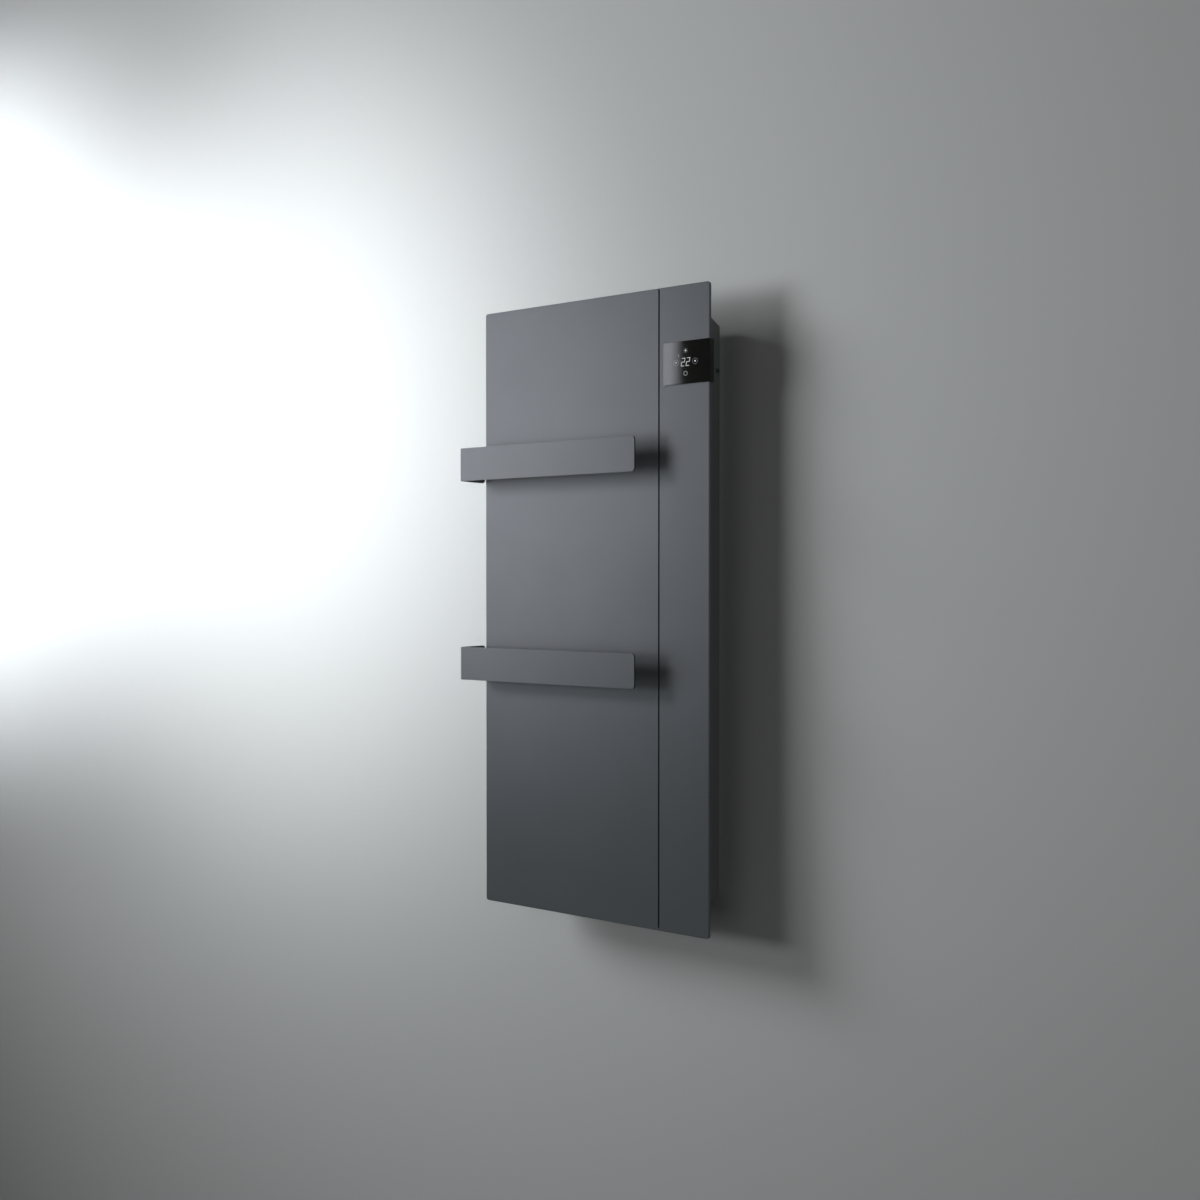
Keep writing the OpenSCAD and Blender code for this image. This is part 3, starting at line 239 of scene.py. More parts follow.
finishes["black_glass"] = black_glass()
for slot_name, colour, roughness in (
        ("black_plastic", srgb(26, 26, 27), 0.45),
        ("white_plastic", srgb(214, 212, 204), 0.45),
        ("black_rubber", srgb(26, 26, 26), 0.8),
        ("slot_black_painted_shade", srgb(9, 9, 10), 0.6),
        ("display_black", srgb(16, 16, 17), 0.3),
        ("blue_relay", srgb(30, 78, 150), 0.35),
        ("capacitor_black", srgb(30, 30, 36), 0.35),
        ("switch_grey", srgb(100, 101, 102), 0.4),
        ("rocker_grey", srgb(56, 57, 58), 0.4),
        ("grey_lock", srgb(120, 122, 124), 0.45),
        ("cable_silicone", srgb(168, 84, 58), 0.5),
        ("red_lead", srgb(140, 26, 24), 0.5),
        ("brown_lead", srgb(92, 56, 36), 0.5),
        ("green_lead", srgb(86, 140, 46), 0.5),
        ("grey_lead", srgb(150, 150, 146), 0.5)):
    finishes[slot_name] = moulded(slot_name.replace("_", " ") + " finish", colour, roughness)
print("finishes so far:", len(finishes))

# %% [markdown]
# ## Metals
#
# Zinc plate, rolled galvanised sheet and mill aluminium are bare metal. Rolling leaves streaks
# along the sheet, so their noise is stretched, and zinc has soft patches of brighter and duller
# grey.

# %% Metal finishes
NO_STREAKS, UPRIGHT_STREAKS = (1, 1, 1), (1, 1, 0.04)
PATCH_SCALE, ROLLING_SCALE = 25, 300
SCRATCH_H = 0.03 * MM


def bare_metal(name, colour, roughness, streak):
    metal = Finish(name, colour, roughness, metallic=1.0)
    metal.tint(metal.noise(PATCH_SCALE, 2), 0.18)
    rolled = metal.noise(ROLLING_SCALE, 3, stretch=streak)
    metal.rough(rolled, roughness - 0.08, roughness + 0.1)
    metal.bump(metal.noise(ROLLING_SCALE * 2, 2, stretch=streak), SCRATCH_H, 0.3)
    return metal.material


for slot_name, colour, roughness, streak in (
        ("zinc_steel", srgb(186, 188, 190), 0.38, NO_STREAKS),
        ("dark_screws", srgb(70, 71, 74), 0.4, NO_STREAKS),
        ("copper_studs", srgb(158, 120, 100), 0.35, NO_STREAKS),
        ("galvanised", srgb(176, 180, 184), 0.42, UPRIGHT_STREAKS),
        ("bracket_steel", srgb(168, 171, 175), 0.45, UPRIGHT_STREAKS),
        ("aluminium_plate", srgb(200, 202, 206), 0.35, UPRIGHT_STREAKS)):
    finish_name = slot_name.replace("_", " ") + " finish"
    finishes[slot_name] = bare_metal(finish_name, colour, roughness, streak)
print("finishes so far:", len(finishes))

# %% [markdown]
# ## Insulation, board and windings
#
# Three pieces inside have a finish of their own: the mineral wool behind the heating cable is
# fibrous, the circuit boards have a green lacquer over copper tracks, and the transformer is
# varnished.

# %% Finishes of the hidden parts
FIBRE_H, TRACK_H, CORE_SHEET_H = 0.6 * MM, 0.03 * MM, 0.05 * MM


def mineral_wool():
    wool = Finish("mineral wool", srgb(206, 190, 140), 0.95)
    fibres = wool.noise(500, 6, stretch=(0.15, 1, 1), turn=(0, 0.5, 0))
    wool.tint(fibres, 0.3)
    wool.bump(fibres, FIBRE_H, 0.8)
    wool.set("Sheen Weight", 0.3)
    return wool.material


def circuit_board():
    board = Finish("green lacquered board", srgb(16, 74, 46), 0.35)
    tracks = board.noise(180, 0, stretch=(1, 1, 0.2))
    board.tint(tracks, 0, other=srgb(30, 104, 64))
    board.bump(tracks, TRACK_H, 0.4)
    return board.material


def varnished_core():
    core = Finish("varnished core", srgb(92, 78, 58), 0.4, metallic=0.6)
    sheets = core.noise(1500, 1, stretch=(1, 0.05, 0.05))
    core.tint(sheets, 0.4)
    core.bump(sheets, CORE_SHEET_H, 0.6)
    return core.material


finishes["mineral_wool"] = mineral_wool()
finishes["green_board"] = circuit_board()
finishes["transformer_brown"] = varnished_core()
print("finishes in all:", len(finishes))

# %% [markdown]
# ## Dressing the CAD pieces
#
# Each CAD piece arrives with a plain material named after its finish in the record. Swapping that
# material for the one with the same name above dresses all of them in one loop. The strip behind
# the panel's slot then gets a deeper black than its plastic, as painted shade inside the slot.

# %% Give each CAD piece its finish
for node in frame["nodes"].values():
    for material_slot in node.material_slots:
        material_slot.material = finishes[material_slot.material.name]
# The deeper black is painted shade inside the slot.
frame["nodes"]["slot_insert"].material_slots[0].material = finishes["slot_black_painted_shade"]
print("dressed pieces:", len(frame["nodes"]))

# %% [markdown]
# ## Helpers for new pieces
#
# The pieces that show are modelled again with the small radii that a real edge has, because an edge
# with no radius catches no light. A sheet-metal piece starts as a skin without thickness. Solidify
# then gives it the sheet's thickness, and Bevel rounds its cut edges.

# %% Helpers for new pieces
SHARP_ANGLE = math.radians(35)
MERGE_GAP = 0.001 * MM


def take_modifiers(piece):
    """Writes what the modifiers make into the piece's own mesh."""
    depsgraph = bpy.context.evaluated_depsgraph_get()
    finished = bpy.data.meshes.new_from_object(piece.evaluated_get(depsgraph), depsgraph=depsgraph)
    piece.modifiers.clear()
    piece.data = finished


def add_piece(name, bm, replaced, slot_name, body=BODY, sheet=0, edge=0.0, segments=2, angle=50):
    """Makes a bmesh into a finished piece that rides on a body and can stand for one CAD node."""
    bmesh.ops.recalc_face_normals(bm, faces=bm.faces)
    piece = bpy.data.objects.new(name, bpy.data.meshes.new(name))
    bm.to_mesh(piece.data)
    bm.free()
    bpy.context.scene.collection.objects.link(piece)
    if sheet:
        solid = piece.modifiers.new("sheet", "SOLIDIFY")
        solid.thickness, solid.offset, solid.use_even_offset = sheet, -1, True
    if edge:
        round_over = piece.modifiers.new("edges", "BEVEL")
        round_over.width, round_over.segments = edge, segments
        round_over.limit_method, round_over.angle_limit = "ANGLE", math.radians(angle)
    take_modifiers(piece)
    piece.data.shade_smooth()
    piece.data.set_sharp_from_angle(angle=SHARP_ANGLE)
    piece.modifiers.new("flats stay flat", "WEIGHTED_NORMAL").keep_sharp = True
    take_modifiers(piece)
    finished = piece.data
    finished.materials.clear()
    finished.materials.append(finishes[slot_name])
    if replaced:
        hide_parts(replaced)
    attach(piece, body)
    print(f"{name}: {len(finished.polygons)} faces")
    return piece


def cut_through(bm, point, normal):
    """Cuts every face along a plane and keeps both sides."""
    everything = bm.verts[:] + bm.edges[:] + bm.faces[:]
    bmesh.ops.bisect_plane(bm, geom=everything, dist=MERGE_GAP / 10, plane_co=point,
                           plane_no=normal)


def drop_faces(bm, unwanted):
    """Deletes the faces whose middle passes the test."""
    gone = [f for f in bm.faces if unwanted(f.calc_center_median())]
    bmesh.ops.delete(bm, geom=gone, context="FACES")


print("helpers for pieces are ready")

# %% [markdown]
# ## The front panel
#
# The real panel is one steel sheet. Its rim is folded back all round, a slot parts the heated zone
# from the control zone, and a notch in the right edge takes the control. It starts as a rectangle:
# its corners are bevelled round, its border is extruded back, and the front edge is bevelled into
# the fold. Cuts along planes then open the slot and the notch.

# %% Model the front panel
PANEL_SHEET = 1.5 * MM
CORNER_R = 5 * MM
FOLD_R = 2 * MM
FOLD_STEPS = 6
SLOT_W = 3 * MM
SLOT_BRIDGE = 5 * MM
NOTCH_LAP = 6 * MM
NOTCH_GAP = 0.25 * MM
CUT_EDGE_R = 0.25 * MM
panel_low, panel_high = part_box("front_panel")
glass_low, glass_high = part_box("control_glass")
slot_x = sum(corner.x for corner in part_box("slot_insert")) / 2
notch_left = glass_low.x + NOTCH_LAP
notch_half = (glass_high.z - glass_low.z) / 2 - NOTCH_LAP + NOTCH_GAP
glass_z = (glass_low.z + glass_high.z) / 2


def flat_rectangle(width, height, corner_r, segments=8):
    """A face that looks towards -Y, with rounded corners."""
    bm = bmesh.new()
    bmesh.ops.create_grid(bm, x_segments=1, y_segments=1, size=0.5)
    bmesh.ops.scale(bm, vec=(width, height, 1), verts=bm.verts)
    bmesh.ops.rotate(bm, matrix=Matrix.Rotation(math.radians(90), 3, "X"), verts=bm.verts)
    bmesh.ops.bevel(bm, geom=bm.verts[:], offset=corner_r, segments=segments, profile=0.5,
                    affect="VERTICES", material=-1)
    return bm


def front_panel():
    width, height = panel_high.x - panel_low.x, panel_high.z - panel_low.z
    bm = flat_rectangle(width, height, CORNER_R)
    border = bm.edges[:]
    rim = bmesh.ops.extrude_edge_only(bm, edges=border)["geom"]
    rim_verts = [v for v in rim if isinstance(v, bmesh.types.BMVert)]
    bmesh.ops.translate(bm, verts=rim_verts, vec=(0, panel_high.y - panel_low.y, 0))
    bmesh.ops.bevel(bm, geom=border, offset=FOLD_R, segments=FOLD_STEPS, profile=0.5,
                    affect="EDGES", material=-1)
    middle_x = (panel_low.x + panel_high.x) / 2
    bmesh.ops.translate(bm, verts=bm.verts, vec=(middle_x, panel_low.y, 0))

    slot_end = panel_low.z + SLOT_BRIDGE
    for side in (-1, 1):
        cut_through(bm, (slot_x + side * SLOT_W / 2, 0, 0), (1, 0, 0))
        cut_through(bm, (0, 0, glass_z + side * notch_half), (0, 0, 1))
    cut_through(bm, (0, 0, slot_end), (0, 0, 1))
    cut_through(bm, (notch_left, 0, 0), (1, 0, 0))
    drop_faces(bm, lambda c: abs(c.x - slot_x) < SLOT_W / 2 and c.z > slot_end)
    drop_faces(bm, lambda c: c.x > notch_left and abs(c.z - glass_z) < notch_half)
    add_piece("front_panel_sheet", bm, "front_panel", "satin_graphite", sheet=PANEL_SHEET,
              edge=CUT_EDGE_R, angle=60)


front_panel()

# %% [markdown]
# ## The towel bars
#
# Each bar is one flat strip, bent back at its left end and then in behind the panel. Spin sweeps
# the strip's edge round each bend, and a plain extrusion makes the straight runs. The free end and
# the return's rear corners are rounded, and only a narrower tongue runs on behind the panel.

# %% Model the two towel bars
BAR_SHEET = 3 * MM
BAR_BEND_R = 4 * MM
BEND_STEPS = 8
BAR_CORNER_R = 7 * MM
BAR_EDGE_R = 0.8 * MM
TONGUE_HALF = 18 * MM
NEAR = 0.01 * MM
# Painted light: the bars' coat is lighter than the panel's, for the fill lamp that leaves them out.
BAR_GRAPHITE_PAINTED_LIGHT, BAR_END_PAINTED_SHADE = srgb(94, 97, 102), srgb(10, 10, 11)


def run(bm, edge, vec):
    """Extrudes an edge along a straight line and returns the new edge."""
    made = bmesh.ops.extrude_edge_only(bm, edges=[edge])["geom"]
    bmesh.ops.translate(bm, verts=[v for v in made if isinstance(v, bmesh.types.BMVert)], vec=vec)
    return next(e for e in made if isinstance(e, bmesh.types.BMEdge))


def bend(bm, edge, centre, angle):
    """Spins an edge about an upright axis and returns the new edge."""
    made = bmesh.ops.spin(bm, geom=[edge, *edge.verts], cent=centre, axis=(0, 0, 1), angle=angle,
                          steps=BEND_STEPS)
    return next(e for e in made["geom_last"] if isinstance(e, bmesh.types.BMEdge))


def towel_bar(node_name):
    low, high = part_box(node_name)
    middle = (low.z + high.z) / 2
    bend_x = low.x + BAR_BEND_R
    bm = bmesh.new()
    ends = [bm.verts.new((high.x, low.y, z)) for z in (low.z, high.z)]
    edge = run(bm, bm.edges.new(ends), (bend_x - high.x, 0, 0))
    edge = bend(bm, edge, (bend_x, low.y + BAR_BEND_R, 0), -math.pi / 2)
    edge = run(bm, edge, (0, high.y - low.y - 2 * BAR_BEND_R, 0))
    edge = bend(bm, edge, (bend_x, high.y - BAR_BEND_R, 0), -math.pi / 2)
    foot_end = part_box("bar_anchors")[1].x
    run(bm, edge, (foot_end - bend_x, 0, 0))

    for side in (-1, 1):
        cut_through(bm, (0, 0, middle + side * TONGUE_HALF), (0, 0, 1))
    cut_through(bm, (0, panel_low.y, 0), (0, 1, 0))
    drop_faces(bm, lambda c: c.y > panel_low.y and abs(c.z - middle) > TONGUE_HALF)
    corners = [v for v in bm.verts if min(abs(v.co.z - low.z), abs(v.co.z - high.z)) < NEAR
               and min(abs(v.co.x - high.x), abs(v.co.y - panel_low.y)) < NEAR]
    bmesh.ops.bevel(bm, geom=corners, offset=BAR_CORNER_R, segments=8, profile=0.5,
                    affect="VERTICES", material=-1)
    return add_piece(node_name + "_strip", bm, node_name, "satin_graphite", sheet=BAR_SHEET,
                     edge=BAR_EDGE_R, segments=4, angle=60)


bars = [towel_bar(name) for name in ("upper_towel_bar", "lower_towel_bar")]

# %% [markdown]
# The bars' end faces look away from the lamps. Their coat is painted darker on the free end, where
# the surface looks to the right, as painted shade, and loses its shine there. Elsewhere the bars'
# coat is a little lighter than the panel's: painted light in place of the right fill lamp.

# %% Coat the bars
def painted_shade_at_free_end(coat):
    """Where to paint shade: 1 where the surface looks right near the bars' free end, else 0."""
    normal, place = coat.node("ShaderNodeSeparateXYZ"), coat.node("ShaderNodeSeparateXYZ")
    coat.link(coat.node("ShaderNodeTexCoord").outputs["Normal"], normal.inputs["Vector"])
    coat.link(coat.place, place.inputs["Vector"])
    end_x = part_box("upper_towel_bar")[1].x
    turned = coat.spread(normal.outputs["X"], 0, 1, start=0.3, end=0.5)
    near = coat.spread(place.outputs["X"], 0, 1, start=end_x - BAR_CORNER_R,
                       end=end_x - BAR_CORNER_R / 2)
    both = coat.node("ShaderNodeMath", operation="MULTIPLY")
    coat.link(turned, both.inputs[0])
    coat.link(near, both.inputs[1])
    return both.outputs["Value"]


# Painted shade on the free end, and a base lighter than the panel's as painted light.
def bar_coat_painted_light_and_shade():
    coat = powder_coat("bar powder coat with painted light and shade", BAR_GRAPHITE_PAINTED_LIGHT, *COAT_ROUGH)
    base_colour = coat.shader.inputs["Base Color"]
    plain = base_colour.links[0].from_socket
    mask = painted_shade_at_free_end(coat)
    mix = coat.node("ShaderNodeMix", data_type="RGBA")
    mix.inputs["B"].default_value = BAR_END_PAINTED_SHADE
    coat.link(mask, mix.inputs["Factor"])
    coat.link(plain, mix.inputs["A"])
    coat.link(mix.outputs["Result"], base_colour)
    shine = coat.spread(mask, COAT_SHINE, 0, start=0, end=1)
    coat.link(shine, coat.shader.inputs["Specular IOR Level"])
    return coat.material


finishes["bar_graphite"] = bar_coat_painted_light_and_shade()
for bar in bars:
    bar.data.materials[0] = finishes["bar_graphite"]
print("coated bars:", len(bars))

# %% [markdown]
# ## The control
#
# A polished pane of black glass lies on a black housing that wraps round the panel's edge. The
# pane is a block whose corners are bevelled round and whose edges are ground to a small radius. The
# housing and the side switch keep their CAD shape: copies of them are merged and their edges
# softened. The switch looks greyer than the housing, as the photograph shows it.

# %% Model the glass, and soften the plastic pieces
GLASS_CORNER_R = 1.5 * MM
GLASS_EDGE_R = 0.25 * MM
HOUSING_EDGE_R, SWITCH_EDGE_R, KEY_EDGE_R = 0.3 * MM, 0.2 * MM, 0.15 * MM


def glass_pane():
    size = glass_high - glass_low
    bm = flat_rectangle(size.x, size.z, GLASS_CORNER_R, segments=5)
    middle_x = (glass_low.x + glass_high.x) / 2
    bmesh.ops.translate(bm, verts=bm.verts, vec=(middle_x, glass_low.y, glass_z))
    return add_piece("control_glass_pane", bm, "control_glass", "black_glass", sheet=size.y,
                     edge=GLASS_EDGE_R, segments=3)


def softened(node_name, edge, look=None, body=BODY):
    """A copy of a CAD piece, merged into one skin, with its edges rounded over."""
    node = frame["nodes"][node_name]
    worn = node.material_slots[0].material
    slot_name = next(key for key, made in finishes.items() if made == worn)
    bm = bmesh.new()
    bm.from_mesh(node.data)
    bmesh.ops.remove_doubles(bm, verts=bm.verts, dist=MERGE_GAP)
    bmesh.ops.dissolve_limit(bm, angle_limit=math.radians(1), verts=bm.verts, edges=bm.edges)
    piece = add_piece(node_name + "_softened", bm, node_name, slot_name, body, edge=edge)
    if look:
        piece.data.materials[0] = finishes[look]


pane = glass_pane()
softened("control_housing", HOUSING_EDGE_R)
softened("switch_body", SWITCH_EDGE_R, "switch_grey")
softened("rocker_key", KEY_EDGE_R, "rocker_grey", body="rocker")

# %% [markdown]
# ## The display
#
# The lit figures shine through clear windows in the black print, so they look like thin white
# strokes on the glass. A seven-part figure is drawn from capsules that lean a little, and each
# touch key is marked by a dot, a ring or both. All of them stand a twentieth of a millimetre proud
# of the glass.

# %% Helpers for the lit marks
MARK_T = 0.05 * MM


def lit_mark(name, glow):
    """White light behind a clear window. A low glow makes the faint rings and rays."""
    mark = Finish(name, srgb(60, 61, 63), 0.3)
    mark.set("Emission Color", srgb(236, 240, 246))
    mark.set("Emission Strength", glow)
    mark.rough(mark.noise(800, 1), 0.25, 0.35)
    return mark.material


finishes["bright_mark"] = lit_mark("bright display mark", 0.8)
finishes["dim_mark"] = lit_mark("dim display mark", 0.3)


def capsule(bm, start, end, width):
    """Adds a flat stroke with round ends from start to end, seen from the front as (x, z)."""
    (x0, z0), (x1, z1) = start, end
    length = math.hypot(x1 - x0, z1 - z0)
    made = bmesh.ops.create_grid(bm, x_segments=1, y_segments=1, size=0.5)["verts"]
    bmesh.ops.scale(bm, vec=(length + width, width, 1), verts=made)
    made = bmesh.ops.bevel(bm, geom=made, offset=width * 0.499, segments=4, profile=0.5,
                           affect="VERTICES", material=-1)["verts"]
    bmesh.ops.rotate(bm, matrix=Matrix.Rotation(math.atan2(z1 - z0, x1 - x0), 3, "Z"), verts=made)
    bmesh.ops.translate(bm, verts=made, vec=((x0 + x1) / 2, (z0 + z1) / 2, 0))


def ring(bm, x, z, radius, width):
    """Adds a flat ring: a stroke's width of edge, spun full circle."""
    ends = [bm.verts.new((x + radius + side * width / 2, z, 0)) for side in (-1, 1)]
    edge = bm.edges.new(ends)
    bmesh.ops.spin(bm, geom=[edge, *ends], cent=(x, z, 0), axis=(0, 0, 1), angle=2 * math.pi,
                   steps=24, use_merge=True)


def dot(bm, x, z, radius):
    bmesh.ops.create_circle(bm, cap_ends=True, segments=16, radius=radius,
                            matrix=Matrix.Translation((x, z, 0)))


def lit_piece(name, slot_name, draw):
    """Draws flat marks, stands them up on the glass and gives them their thickness."""
    bm = bmesh.new()
    draw(bm)
    bmesh.ops.remove_doubles(bm, verts=bm.verts, dist=MERGE_GAP)
    bmesh.ops.rotate(bm, matrix=Matrix.Rotation(math.radians(90), 3, "X"), verts=bm.verts)
    bmesh.ops.translate(bm, verts=bm.verts, vec=(0, glass_low.y - MARK_T, 0))
    for face in bm.faces:
        face.normal_update()
        if face.normal.y > 0:
            face.normal_flip()
    piece = add_piece(name, bm, None, slot_name, sheet=MARK_T)


print("finishes with the marks:", len(finishes))

# %% [markdown]
# Two figures stand in the middle, and the four keys lie round them. Their places and sizes are
# measured from the middle of the figures.

# %% Draw the lit marks
STROKE = 0.75 * MM
FIGURE_W, FIGURE_H = 6.4 * MM, 13.6 * MM
FIGURE_LEAN = math.tan(math.radians(9))
FIGURE_GAP = 9.6 * MM
KEY_DX, KEY_DZ = 18.4 * MM, 19.2 * MM
UPPER_DOT_R, RIGHT_DOT_R, LEFT_DOT_R = 1.3 * MM, 1.3 * MM, 0.9 * MM
SIDE_RING_R, SIDE_RING_W = 4.8 * MM, 0.3 * MM
LOWER_RING_R, LOWER_RING_W = 3.4 * MM, 0.9 * MM
RAY_START, RAY_END, RAY_W = 2.6 * MM, 3.8 * MM, 0.5 * MM
RAY_COUNT = 8
TICK_FOOT, TICK_TOP, TICK_W = (-13.4 * MM, 10 * MM), (-13.9 * MM, 14 * MM), 0.7 * MM
DISPLAY_DX, DISPLAY_DZ = 44 * MM, 0.5 * MM
display_x = glass_low.x + DISPLAY_DX
display_z = glass_z + DISPLAY_DZ


def figure_two(bm, x, z):
    """The figure 2: five capsules between the corners of a leaning frame."""
    half_w, half_h = (FIGURE_W - STROKE) / 2, (FIGURE_H - STROKE) / 2
    corners = [(-half_w, half_h), (half_w, half_h), (half_w, 0), (-half_w, 0), (-half_w, -half_h),
               (half_w, -half_h)]
    leaning = [(x + cx + cz * FIGURE_LEAN, z + cz) for cx, cz in corners]
    for start, end in zip(leaning, leaning[1:]):
        capsule(bm, start, end, STROKE)


def figures(bm):
    for side in (-1, 1):
        figure_two(bm, display_x + side * FIGURE_GAP / 2, display_z)


def key_dots(bm):
    dot(bm, display_x, display_z + KEY_DZ, UPPER_DOT_R)
    dot(bm, display_x + KEY_DX, display_z, RIGHT_DOT_R)
    dot(bm, display_x - KEY_DX, display_z, LEFT_DOT_R)


def key_rings(bm):
    """Rings round the side keys, a ring as the lower key, and rays round the upper one."""
    for side in (-1, 1):
        ring(bm, display_x + side * KEY_DX, display_z, SIDE_RING_R, SIDE_RING_W)
    ring(bm, display_x, display_z - KEY_DZ, LOWER_RING_R, LOWER_RING_W)
    for ray in range(RAY_COUNT):
        turn = math.radians(360 / RAY_COUNT * ray)
        inner, outer = [(display_x + r * math.cos(turn), display_z + KEY_DZ + r * math.sin(turn))
                        for r in (RAY_START, RAY_END)]
        capsule(bm, inner, outer, RAY_W)
    foot, top = [(display_x + dx, display_z + dz) for dx, dz in (TICK_FOOT, TICK_TOP)]
    capsule(bm, foot, top, TICK_W)


lit_piece("display_figures", "bright_mark", figures)
lit_piece("display_key_dots", "bright_mark", key_dots)
lit_piece("display_key_rings", "dim_mark", key_rings)

# %% [markdown]
# ## The stage
#
# The rail hangs on a plain wall above a pale floor. The wall lets a view from behind through, so
# that the rail's back can be looked at. It lies half a millimetre behind the rail, so that the two
# don't share a plane.

# %% Build the wall and the floor
WALL_LEFT, WALL_RIGHT = -7, 5
FLOOR_Z, WALL_TOP = -1.8, 4
FLOOR_FRONT = -7
WALL_Y = 0.5 * MM


def stage_plane(name, corners, material):
    mesh = bpy.data.meshes.new(name)
    bm = bmesh.new()
    bm.faces.new([bm.verts.new(corner) for corner in corners])
    bm.to_mesh(mesh)
    bm.free()
    mesh.materials.append(material)
    plane = bpy.data.objects.new(name, mesh)
    bpy.context.scene.collection.objects.link(plane)
    return plane


def wall_paint():
    """Matt paint that is open to views and light from behind."""
    paint = Finish("wall paint", srgb(166, 169, 170), 0.9)
    paint.set("Specular IOR Level", 0.1)
    paint.bump(paint.noise(300, 3), 0.1 * MM, 0.1)

    clear = paint.node("ShaderNodeBsdfTransparent")
    side = paint.node("ShaderNodeNewGeometry").outputs["Backfacing"]
    shadow = paint.node("ShaderNodeLightPath").outputs["Is Shadow Ray"]
    either = paint.node("ShaderNodeMath", operation="MAXIMUM")
    paint.link(side, either.inputs[0])
    paint.link(shadow, either.inputs[1])
    choose = paint.node("ShaderNodeMixShader")
    paint.link(either.outputs["Value"], choose.inputs["Fac"])
    paint.link(paint.shader.outputs["BSDF"], choose.inputs[1])
    paint.link(clear.outputs["BSDF"], choose.inputs[2])
    paint.link(choose.outputs["Shader"], paint.tree.nodes["Material Output"].inputs["Surface"])
    return paint.material


def floor_paint():
    """Pale and even: seen directly it glows a little, so that it needs no lamp of its own."""
    paint = Finish("floor", srgb(120, 121, 122), 0.8)
    paint.tint(paint.noise(3, 2), 0.04)
    paint.set("Emission Color", srgb(176, 177, 178))
    seen = paint.node("ShaderNodeLightPath").outputs["Is Camera Ray"]
    paint.link(seen, paint.shader.inputs["Emission Strength"])
    return paint.material


foot_left, foot_right = (WALL_LEFT, WALL_Y, FLOOR_Z), (WALL_RIGHT, WALL_Y, FLOOR_Z)
wall_top = [(WALL_RIGHT, WALL_Y, WALL_TOP), (WALL_LEFT, WALL_Y, WALL_TOP)]
floor_front = [(WALL_LEFT, FLOOR_FRONT, FLOOR_Z), (WALL_RIGHT, FLOOR_FRONT, FLOOR_Z)]
wall = stage_plane("wall", [foot_left, foot_right, *wall_top], wall_paint())
floor = stage_plane("floor", [*floor_front, foot_right, foot_left], floor_paint())
print("stage: wall and floor")

# %% [markdown]
# ## The light
#
# A lamp is put in its place, in metres, and turned towards its target. The camera never sees it.
# Light linking lets it light only some things, or leave some out. A spot's spot_size is the whole
# angle of its beam in radians, and a large shadow_soft_size gives soft shadows.

# %% Helpers for lamps
def lamp(name, kind, place, target, power, lights=(), leaves_out=(), shines=True, **settings):
    """Adds a lamp that the camera doesn't see. It can light only some things, or leave some out."""
    data = bpy.data.lights.new(name, kind)
    data.energy = power
    for key, value in settings.items():
        setattr(data, key, value)
    made = bpy.data.objects.new(name, data)
    bpy.context.scene.collection.objects.link(made)
    made.location = place
    made.rotation_euler = (Vector(target) - made.location).to_track_quat("-Z", "Y").to_euler()
    made.visible_camera = False
    made.visible_glossy = shines
    limit_to(made, lights, leaves_out)


def limit_to(light, lights=(), leaves_out=()):
    """Links a light to the things that it lights, or to those that it doesn't."""
    if not lights and not leaves_out:
        return
    chosen = bpy.data.collections.new(light.name + " links")
    for thing in [*lights, *leaves_out]:
        chosen.objects.link(thing)
    light.light_linking.receiver_collection = chosen
    for entry in chosen.collection_objects:
        entry.light_linking.link_state = "EXCLUDE" if leaves_out else "INCLUDE"


def count_lamps():
    return sum(thing.type == "LIGHT" for thing in bpy.context.scene.objects)


# %% [markdown]
# The rail hangs in a dim room. Two soft spot lamps stand in front, a little to the left, one above
# the other. Both are aimed at the panel's upper left, so the light fades towards the right and the
# foot, and together they draw soft shadows behind the bars' free ends. Two large weak lamps fill
# the rest. The right one is there for the casing's side and leaves out the bars, whose end faces
# are dark. All four light the rail alone, and their sheen is left out, because it would level the
# panel's fall from light to dark.

# %% Light the rail
WARM_LIGHT, FILL_LIGHT = (1, 0.965, 0.955), (0.93, 1, 0.985)
stage = [wall, floor]
for which, place in (("upper", (-0.863, -1.804, 0.682)), ("lower", (-0.603, -1.804, 0.162))):
    lamp(which + " panel lamp", "SPOT", place=place, target=(-0.276, 0, 0.326),
         power=120, leaves_out=stage, shines=False, spot_size=2 * 0.38, spot_blend=1,
         shadow_soft_size=0.31, color=WARM_LIGHT)
lamp("left fill lamp", "AREA", place=(-1.327, -2.6, 0.015), target=(0, 0, 0),
     power=32, leaves_out=stage, shines=False, shape="DISK", size=2.386, color=FILL_LIGHT)
lamp("right fill lamp", "AREA", place=(3.2, -1.6, 0.3), target=(0, 0, 0),
     power=13, leaves_out=[*stage, *bars], shines=False, shape="DISK", size=2.2, color=FILL_LIGHT)
print("lamps for the rail:", count_lamps())

# %% [markdown]
# The wall has lamps of its own. Two soft spots make the glow at its left, and two more rake it from
# the far left and draw the soft shadow beside the rail, which a large weak lamp lightens a little.
# Two lamps behind the wall light the rail's back, the higher one its casing.

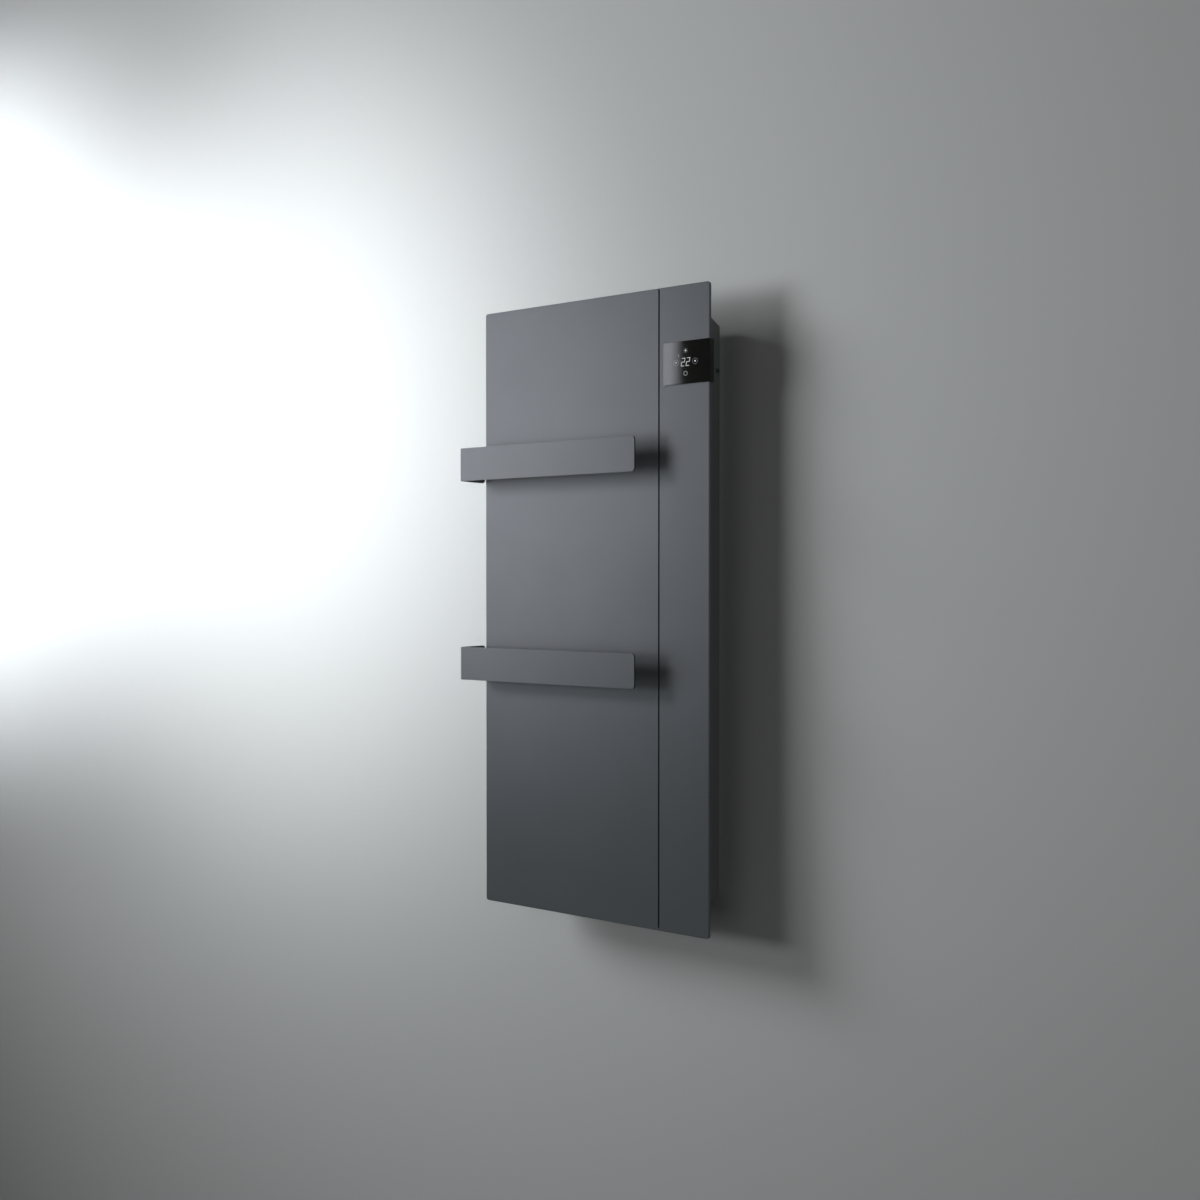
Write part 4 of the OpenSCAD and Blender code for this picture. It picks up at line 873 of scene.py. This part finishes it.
# %% Light the wall and the rail's back
GLOW_LIGHT = (0.965, 0.985, 1)
lamp("glow lamp", "SPOT", place=(-1.069, -2.48, 1.36), target=(-0.894, 0, 0.369),
     power=1293, lights=[wall], spot_size=2 * 0.216, spot_blend=1, shadow_soft_size=0.645,
     color=GLOW_LIGHT)
lamp("far glow lamp", "SPOT", place=(-3.414, -1.075, 0.802), target=(-2.536, 0, 0.618),
     power=6030, lights=[wall], spot_size=2 * 0.222, spot_blend=1, shadow_soft_size=1.016,
     color=GLOW_LIGHT)
lamp("wall lamp", "SPOT", place=(-4.728, -2.441, 2.017), target=(-1.046, 0, -0.14),
     power=1504, lights=[wall], spot_size=2 * 0.373, spot_blend=1, shadow_soft_size=1.162)
lamp("soft wall lamp", "SPOT", place=(-3.789, -3.59, 0.839), target=(-0.319, 0, 1.002),
     power=1075, lights=[wall], spot_size=2 * 0.37, spot_blend=1, shadow_soft_size=1.112)
lamp("wall fill lamp", "AREA", place=(0.3, -4.0, -0.8), target=(0, 0, 0),
     power=9, lights=[wall], shape="DISK", size=3)
casing = frame["nodes"]["rear_casing"]
lamp("back lamp", "AREA", place=(-1.4, 2.2, 0.6), target=(0, 0, 0),
     power=75, leaves_out=[casing], shape="RECTANGLE", size=0.6, size_y=1.6)
lamp("high back lamp", "AREA", place=(-1.4, 2.2, 1.6), target=(0, 0, 0),
     power=60, lights=[casing], shape="RECTANGLE", size=0.6, size_y=1.6)
print("lamps in all:", count_lamps())

# %% [markdown]
# Polished glass shows what stands in front of it. A pale card to the left gives it the soft grey
# reflection on its left part. The card shines on the glass alone, and its right side fades out.

# %% Stand a card for the glass to reflect
CARD_Y = -2.35
CARD_RIGHT, CARD_LEFT = -1.145, -2.4
CARD_LOW, CARD_HIGH = 0.1, 1.7
CARD_FADE = 0.05
CARD_GLOW = 4.9


def card_paper():
    colour = srgb(240, 244, 250)
    paper = Finish("reflection card", colour, 0.8)
    place = paper.node("ShaderNodeSeparateXYZ")
    paper.link(paper.place, place.inputs["Vector"])
    fade = paper.spread(place.outputs["X"], CARD_GLOW, 0, CARD_RIGHT - CARD_FADE, CARD_RIGHT)
    paper.set("Emission Color", colour)
    paper.link(fade, paper.shader.inputs["Emission Strength"])
    return paper.material


corners = [(CARD_RIGHT, CARD_Y, CARD_LOW), (CARD_LEFT, CARD_Y, CARD_LOW),
           (CARD_LEFT, CARD_Y, CARD_HIGH), (CARD_RIGHT, CARD_Y, CARD_HIGH)]
card = stage_plane("reflection card", corners, card_paper())
card.visible_camera = card.visible_diffuse = card.visible_shadow = False
limit_to(card, lights=[pane])
print("card for the glass")

# %% [markdown]
# The world gives a weak even light. Views from behind the wall see it as a pale backdrop, so its
# brightness for camera rays is set by itself.

# %% Set up the world
AMBIENT, BACKDROP = 0.13, 0.8
world = bpy.data.worlds.new("studio")
bpy.context.scene.world = world
world.use_nodes = True
background = world.node_tree.nodes["Background"]
background.inputs["Color"].default_value = srgb(238, 234, 228)
seen = world.node_tree.nodes.new("ShaderNodeLightPath").outputs["Is Camera Ray"]
strength = world.node_tree.nodes.new("ShaderNodeMapRange")
strength.inputs["To Min"].default_value = AMBIENT
strength.inputs["To Max"].default_value = BACKDROP
world.node_tree.links.new(seen, strength.inputs["Value"])
world.node_tree.links.new(strength.outputs["Result"], background.inputs["Strength"])
bpy.context.scene.view_settings.view_transform = "Standard"
print("ambient strength:", AMBIENT)
